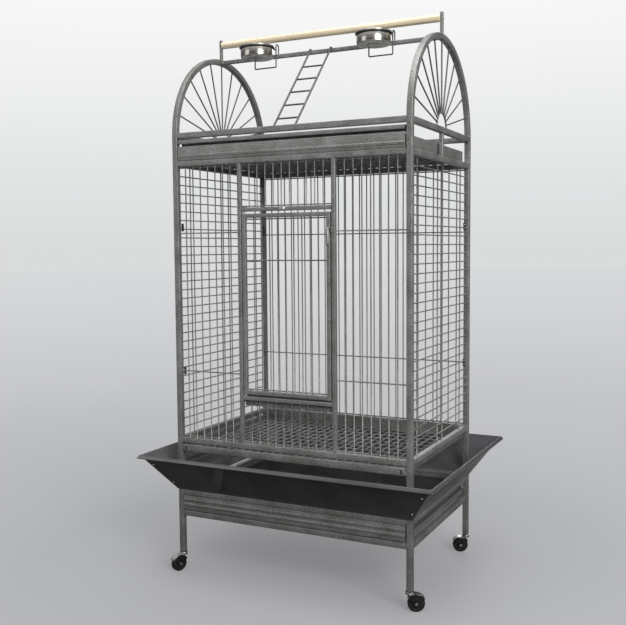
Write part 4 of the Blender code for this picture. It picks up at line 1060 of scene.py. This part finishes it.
part("ladder", "rods", shape, dark_coat_and_pan_shade, sharp=50)

# %% Bowls
BOWL_Y, BOWL_FOOT, BOWL_LIP = -0.065, 0.0085, 0.0035
BOWL_WALL, BOWL_CORNER = 0.0009, 0.0062


def bowl_profile(radius, rim, height):
    """Outside from the base up, over the rolled rim, and down inside."""
    wall, corner, curl = BOWL_WALL, BOWL_CORNER, BOWL_LIP / 2
    floor = rim - height
    middle, inner = radius - corner, corner - wall
    centre, level = radius + curl, rim - curl
    base = mm((2, 1.2), (18, 1.2), (19.5, 0.2), (22.5, 0))
    groove = mm((0, 6.6), (0.4, 6.0), (0.4, 5.4), (0, 4.8), (0, 3.2))
    quarter = (0.3, 0.6, 0.9, 1.2, 1.4, math.pi / 2)
    profile = [(r, floor + z) for r, z in base] + [(middle, floor)]
    profile += [(middle + corner * math.sin(t), floor + corner * (1 - math.cos(t))) for t in quarter]
    profile += [(radius - depth, rim - down) for depth, down in groove]
    profile += [(centre - curl * math.cos(t) * 0.9, level + curl * math.sin(t)) for t in (-1.2, -0.6)]
    over = (0.4, 0.9, 1.57, 2.2, 2.7, 3.14)
    profile += [(centre + curl * math.sin(t), level - curl * math.cos(t)) for t in over]
    profile += [(radius - wall + 0.0004, rim - 0.0004), (radius - wall, rim - 0.0020)]
    profile.append((radius - wall, floor + corner))
    profile += [(middle + inner * math.cos(t), floor + corner - inner * math.sin(t)) for t in quarter]
    return profile + [(r, floor + wall + z) for r, z in reversed(base)]


for name in ("left", "right"):
    low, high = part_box(f"bowl_{name}")
    x, radius = (low.x + high.x) / 2, (high.x - low.x) / 2 - BOWL_LIP
    shape = bmesh.new()
    profile = bowl_profile(radius, high.z, high.z - low.z - BOWL_FOOT)
    turn(shape, Matrix.Translation((x, BOWL_Y, 0)), profile, 72)
    part(f"bowl_{name}", "spun", shape, stainless, sharp=50)

# %% Bowl hangers
HANGER_WIRE, SPREAD, HANGER_LOW, HOOK_TOP = 0.0044, 0.0405, 1.666, 1.741
radius = HANGER_WIRE / 2
leg_y, back_y = -BAR / 2 - GAP - radius, BAR / 2 + GAP + radius
for name in ("left", "right"):
    low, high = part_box(f"bowl_{name}")
    x = (low.x + high.x) / 2
    ring_radius = (high.x - low.x) / 2 - BOWL_LIP + 0.0006 + radius
    ring_z = high.z - 0.0025 - GAP - radius
    link_y = BOWL_Y + math.sqrt(ring_radius**2 - SPREAD**2)
    shape = bmesh.new()
    for u in (x - SPREAD, x + SPREAD):
        over = [(back_y * math.cos(t), HOOK_TOP - back_y + back_y * math.sin(t)) for t in swing(math.pi, 12)]
        path = [(back_y, BAR_Z - 0.006), *over, (leg_y, HANGER_LOW + 0.006)]
        sweep(shape, [(u, y, z) for y, z in path], circle(HANGER_WIRE), X)
        wire(shape, (u, link_y, ring_z), (u, leg_y, ring_z), HANGER_WIRE, (False, False))
        nugget(shape, (u, leg_y, ring_z))
        nugget(shape, (u, link_y, ring_z))
    stub = HANGER_LOW + 0.0061
    under = [(-SPREAD, stub), (-SPREAD, HANGER_LOW), (SPREAD, HANGER_LOW), (SPREAD, stub)]
    sweep(shape, bend([(x + u, leg_y, z) for u, z in under], 0.005, 6), circle(HANGER_WIRE), Y)
    whole = swing(2 * math.pi, 64)[:-1]
    ring = [(x + ring_radius * math.cos(t), BOWL_Y + ring_radius * math.sin(t), ring_z) for t in whole]
    sweep(shape, ring, circle(HANGER_WIRE), Z, closed=True)
    part(f"bowl_hanger_{name}", "wire", shape, dark_coat_and_pan_shade, sharp=50)
print("bowl rings at", round(ring_z, 4))

# %% [markdown]
# ## The casters
# Each swivels: a pressed cup with a ring of balls under a cover, a fork folded from plate with a crown
# over the wheel and two cheeks that narrow to the axle, a bolt with its nut, and a grooved tyre. The
# cheeks are enamelled black, and the cup, the crown and the bolt are left in bright zinc.

# %% Casters
WHEEL_RADIUS, WHEEL_WIDTH, TRAIL, CHEEK, EYE = 0.0255, 0.018, 0.018, 0.0022, 0.0072
TURNS = {"front_left": -115.0, "front_right": 26.0, "back_left": 110.0, "back_right": 206.0}
HOOD = WHEEL_RADIUS + 0.0035
inner_half = WHEEL_WIDTH / 2 + 0.001
cheek_end = inner_half + CHEEK
# A cheek seen from the side: wide under the crown, narrowing to a round end at the axle.
CHEEK_OUTLINE = around(HOOD, range(30, 151, 8)) + around(EYE, range(188, 353, 15))
CUP = mm((8.5, 0), (13.2, -0.3), (13.5, -1.0), (13.5, -3.4), (12.6, -4.0), (12.6, -4.6), (13.3, -5.2))
CUP += mm((13.3, -7.8), (11.8, -9.2), (7.0, -9.6), (7.0, -11.2))
# The tyre's section, from the bore out over one flank to the middle groove, and back down the other.
half, tread, groove = WHEEL_WIDTH / 2, WHEEL_RADIUS, WHEEL_RADIUS - 0.0012
tyre = [(0.0034, -half), (0.0075, -half), (0.0080, -half + 0.0012), (0.0165, -half + 0.0024)]
tyre += [(0.0180, -half + 0.0004), (0.0222, -half + 0.0004), (tread - 0.0014, -half + 0.0014)]
tyre += [(tread, -half + 0.0034), (tread, -0.0026), (groove, -0.0020), (groove, -0.0012), (tread, -0.0006)]
tyre += [(r, -v) for r, v in reversed(tyre)]
top = LEG_BOTTOM - GAP
neck_low, neck_high = top - 0.0130, top - 0.0080
for corner, (x, y) in CORNERS.items():
    place = Matrix.Translation((x, y, 0)) @ Matrix.Rotation(math.radians(TURNS[corner]), 4, "Z")
    hub = place @ Matrix.Translation((TRAIL, 0, WHEEL_RADIUS)) @ Matrix.Rotation(math.pi / 2, 4, "X")
    shape = bmesh.new()
    bright = bmesh.new()
    turn(bright, place @ Matrix.Translation((0, 0, top)), CUP, 40)
    for side in (-1, 1):
        rings = []
        for inset, offset in ((0.0, 0.0), (0.0, CHEEK - 0.0006), (0.0006, CHEEK)):
            scale, across = 1 - inset / 0.02, side * (inner_half + offset)
            rings.append([hub @ Vector((u * scale, v * scale, across)) for u, v in CHEEK_OUTLINE])
        loft(shape, rings)
        head = hub @ Matrix.Translation((0, 0, side * cheek_end))
        turn(bright, head, [(0.0050, -0.0004), (0.0050, side * 0.0012)], 6)
    crown = [Vector((u, v, 0)) for u, v in around(HOOD - SHEET / 2, range(30, 151, 5))]
    formed(bright, crown, SHEET, lambda p, end: hub @ Vector((p.x, p.y, end * (inner_half + 0.0006))))
    neck = [(0.0006, neck_low), (0, neck_low + 0.0006), (0, neck_high)]
    middle = place @ Matrix.Translation((TRAIL / 2, 0, 0))
    stack(bright, middle, TRAIL, 2 * inner_half + CHEEK, 0.004, neck)
    turn(bright, hub, [(0.0030, -cheek_end - 0.0011), (0.0030, cheek_end + 0.0011)], 20)
    part(f"caster_fork_{corner}", "pressing", shape, hood_coat)
    part(f"caster_fork_{corner}", "collar", bright, zinc, False)
    shape = bmesh.new()
    loft(shape, [[hub @ Vector((u * r, v * r, h)) for u, v in circle(2, 48)] for r, h in tyre], closed=True)
    part(f"caster_wheel_{corner}", "tyre", shape, rubber)
print("wheel diameter", 2 * WHEEL_RADIUS)

# %% [markdown]
# ## Floor, backdrop and lamps
# The cage stands on one pale sweep: grey by its feet, paler with distance, and near white overhead.
# The floor near the cage is plain matt paint that the lamps light, so it keeps the shadow. Further off
# it fades into the same tone given straight to the camera, and above the horizon the world goes on.
# Rays that light the object or glance off it meet a dim room under a paler ceiling instead, and a floor
# that is dark by the cage and paler further off, so the background never adds light to it.

# %% Floor
FLOOR_RADIUS = 40.0
FLOOR_TONES = [(0.0, "ACACAF"), (0.2, "AEAFB1"), (0.385, "C0C1C3"), (0.626, "CCCDCF")]
FLOOR_TONES += [(0.79, "D4D5D7"), (1.0, "DADBDC")]
shape = bmesh.new()
bmesh.ops.create_circle(shape, cap_ends=True, segments=96, radius=FLOOR_RADIUS)
mesh = bpy.data.meshes.new("floor")
shape.to_mesh(mesh)
shape.free()
floor = bpy.data.objects.new("floor", mesh)
bpy.context.scene.collection.objects.link(floor)
floor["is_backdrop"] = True
paint, tree, shader, place = surface("matt_floor_paint", {"Roughness": 0.9})
far = add(tree, "VectorMath", {0: place}, operation="LENGTH").outputs["Value"]
beyond = add(tree, "Math", {0: far, 1: 4.0}, operation="ADD").outputs[0]
share = add(tree, "Math", {0: far, 1: beyond}, operation="DIVIDE").outputs[0]
tone = add(tree, "ValToRGB", {"Fac": share}, FLOOR_TONES).outputs[0]
glow = add(tree, "Emission", {"Color": tone, "Strength": 1.0}).outputs[0]
seen = add(tree, "LightPath").outputs["Is Camera Ray"]
painted = {0: 1.0, 6: tone, 7: linear("DCDCDC")}
lit = add(tree, "Mix", painted, data_type="RGBA", blend_type="MULTIPLY").outputs[2]
distant = add(tree, "MapRange", {"Value": far, "From Min": 1.0, "From Max": 3.0}).outputs["Result"]
dim = {0: distant, 6: linear("2C2C2D"), 7: linear("A0A0A2")}
gloom = add(tree, "Mix", dim, data_type="RGBA").outputs[2]
shown = add(tree, "Mix", {0: seen, 6: gloom, 7: lit}, data_type="RGBA").outputs[2]
tree.links.new(shown, shader.inputs["Base Color"])
limits = {"Value": far, "From Min": 1.2, "From Max": 4.5, "To Min": 0.5}
fade = add(tree, "MapRange", limits, interpolation_type="SMOOTHSTEP").outputs["Result"]
blend_share = add(tree, "Math", {0: fade, 1: seen}, operation="MULTIPLY").outputs[0]
mixed = add(tree, "MixShader", {0: blend_share, 1: shader.outputs[0], 2: glow}).outputs[0]
tree.links.new(mixed, tree.nodes["Material Output"].inputs["Surface"])
mesh.materials.append(paint)

# %% World
SKY_TONES = [(0.0, "DADBDC"), (0.055, "DFE1E2"), (0.24, "F6F6F6"), (0.3, "FAFAFA"), (1.0, "FBFBFB")]
ROOM_TONES = [(0.0, "4A4A4B"), (0.3, "6E6E70"), (0.6, "C8C8CA"), (1.0, "E8E8EA")]
world = bpy.data.worlds.new("studio")
bpy.context.scene.world = world
world.use_nodes = True
tree = world.node_tree
direction = add(tree, "TexCoord").outputs["Generated"]
height = add(tree, "SeparateXYZ", {"Vector": direction}).outputs["Z"]
sky = add(tree, "ValToRGB", {"Fac": height}, SKY_TONES).outputs[0]
seen_sky = add(tree, "Background", {"Color": sky, "Strength": 1.0}).outputs[0]
room = add(tree, "ValToRGB", {"Fac": height}, ROOM_TONES).outputs[0]
fill = add(tree, "Background", {"Color": room, "Strength": 1.0}).outputs[0]
seen = add(tree, "LightPath").outputs["Is Camera Ray"]
mixed = add(tree, "MixShader", {0: seen, 1: fill, 2: seen_sky}).outputs[0]
tree.links.new(mixed, tree.nodes["World Output"].inputs["Surface"])
print("tones of the sky", len(SKY_TONES), "and of the room", len(ROOM_TONES))


# %% Lamps
def softbox(name, place, aim, size, watts):
    """A large square lamp, aimed at a point."""
    lamp = bpy.data.lights.new(name, "AREA")
    lamp.shape = "SQUARE"
    lamp.size = size
    lamp.energy = watts
    holder = bpy.data.objects.new(name, lamp)
    holder.matrix_world = facing(place, Vector(place) - Vector(aim))
    bpy.context.scene.collection.objects.link(holder)


softbox("overhead", (0.3, -0.6, 4.6), (0, 0, 0.9), 3.4, 150)
softbox("key_right", (3.3, -2.7, 2.6), (0.2, 0, 1.1), 2.0, 215)
softbox("fill_left", (-3.6, -3.4, 2.4), (0, 0, 1.0), 2.6, 25)
softbox("fill_back", (-0.8, 4.2, 3.0), (0, 0, 0.9), 2.6, 60)
print("lamps", len(bpy.data.lights))

# %% Sizes
bpy.context.view_layer.update()
shown_low, shown_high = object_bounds()
sizes = {"cad_box": [list(cad_low), list(cad_high)], "visual_box": [list(shown_low), list(shown_high)]}
print("visual box", [round(v, 4) for v in shown_high - shown_low])
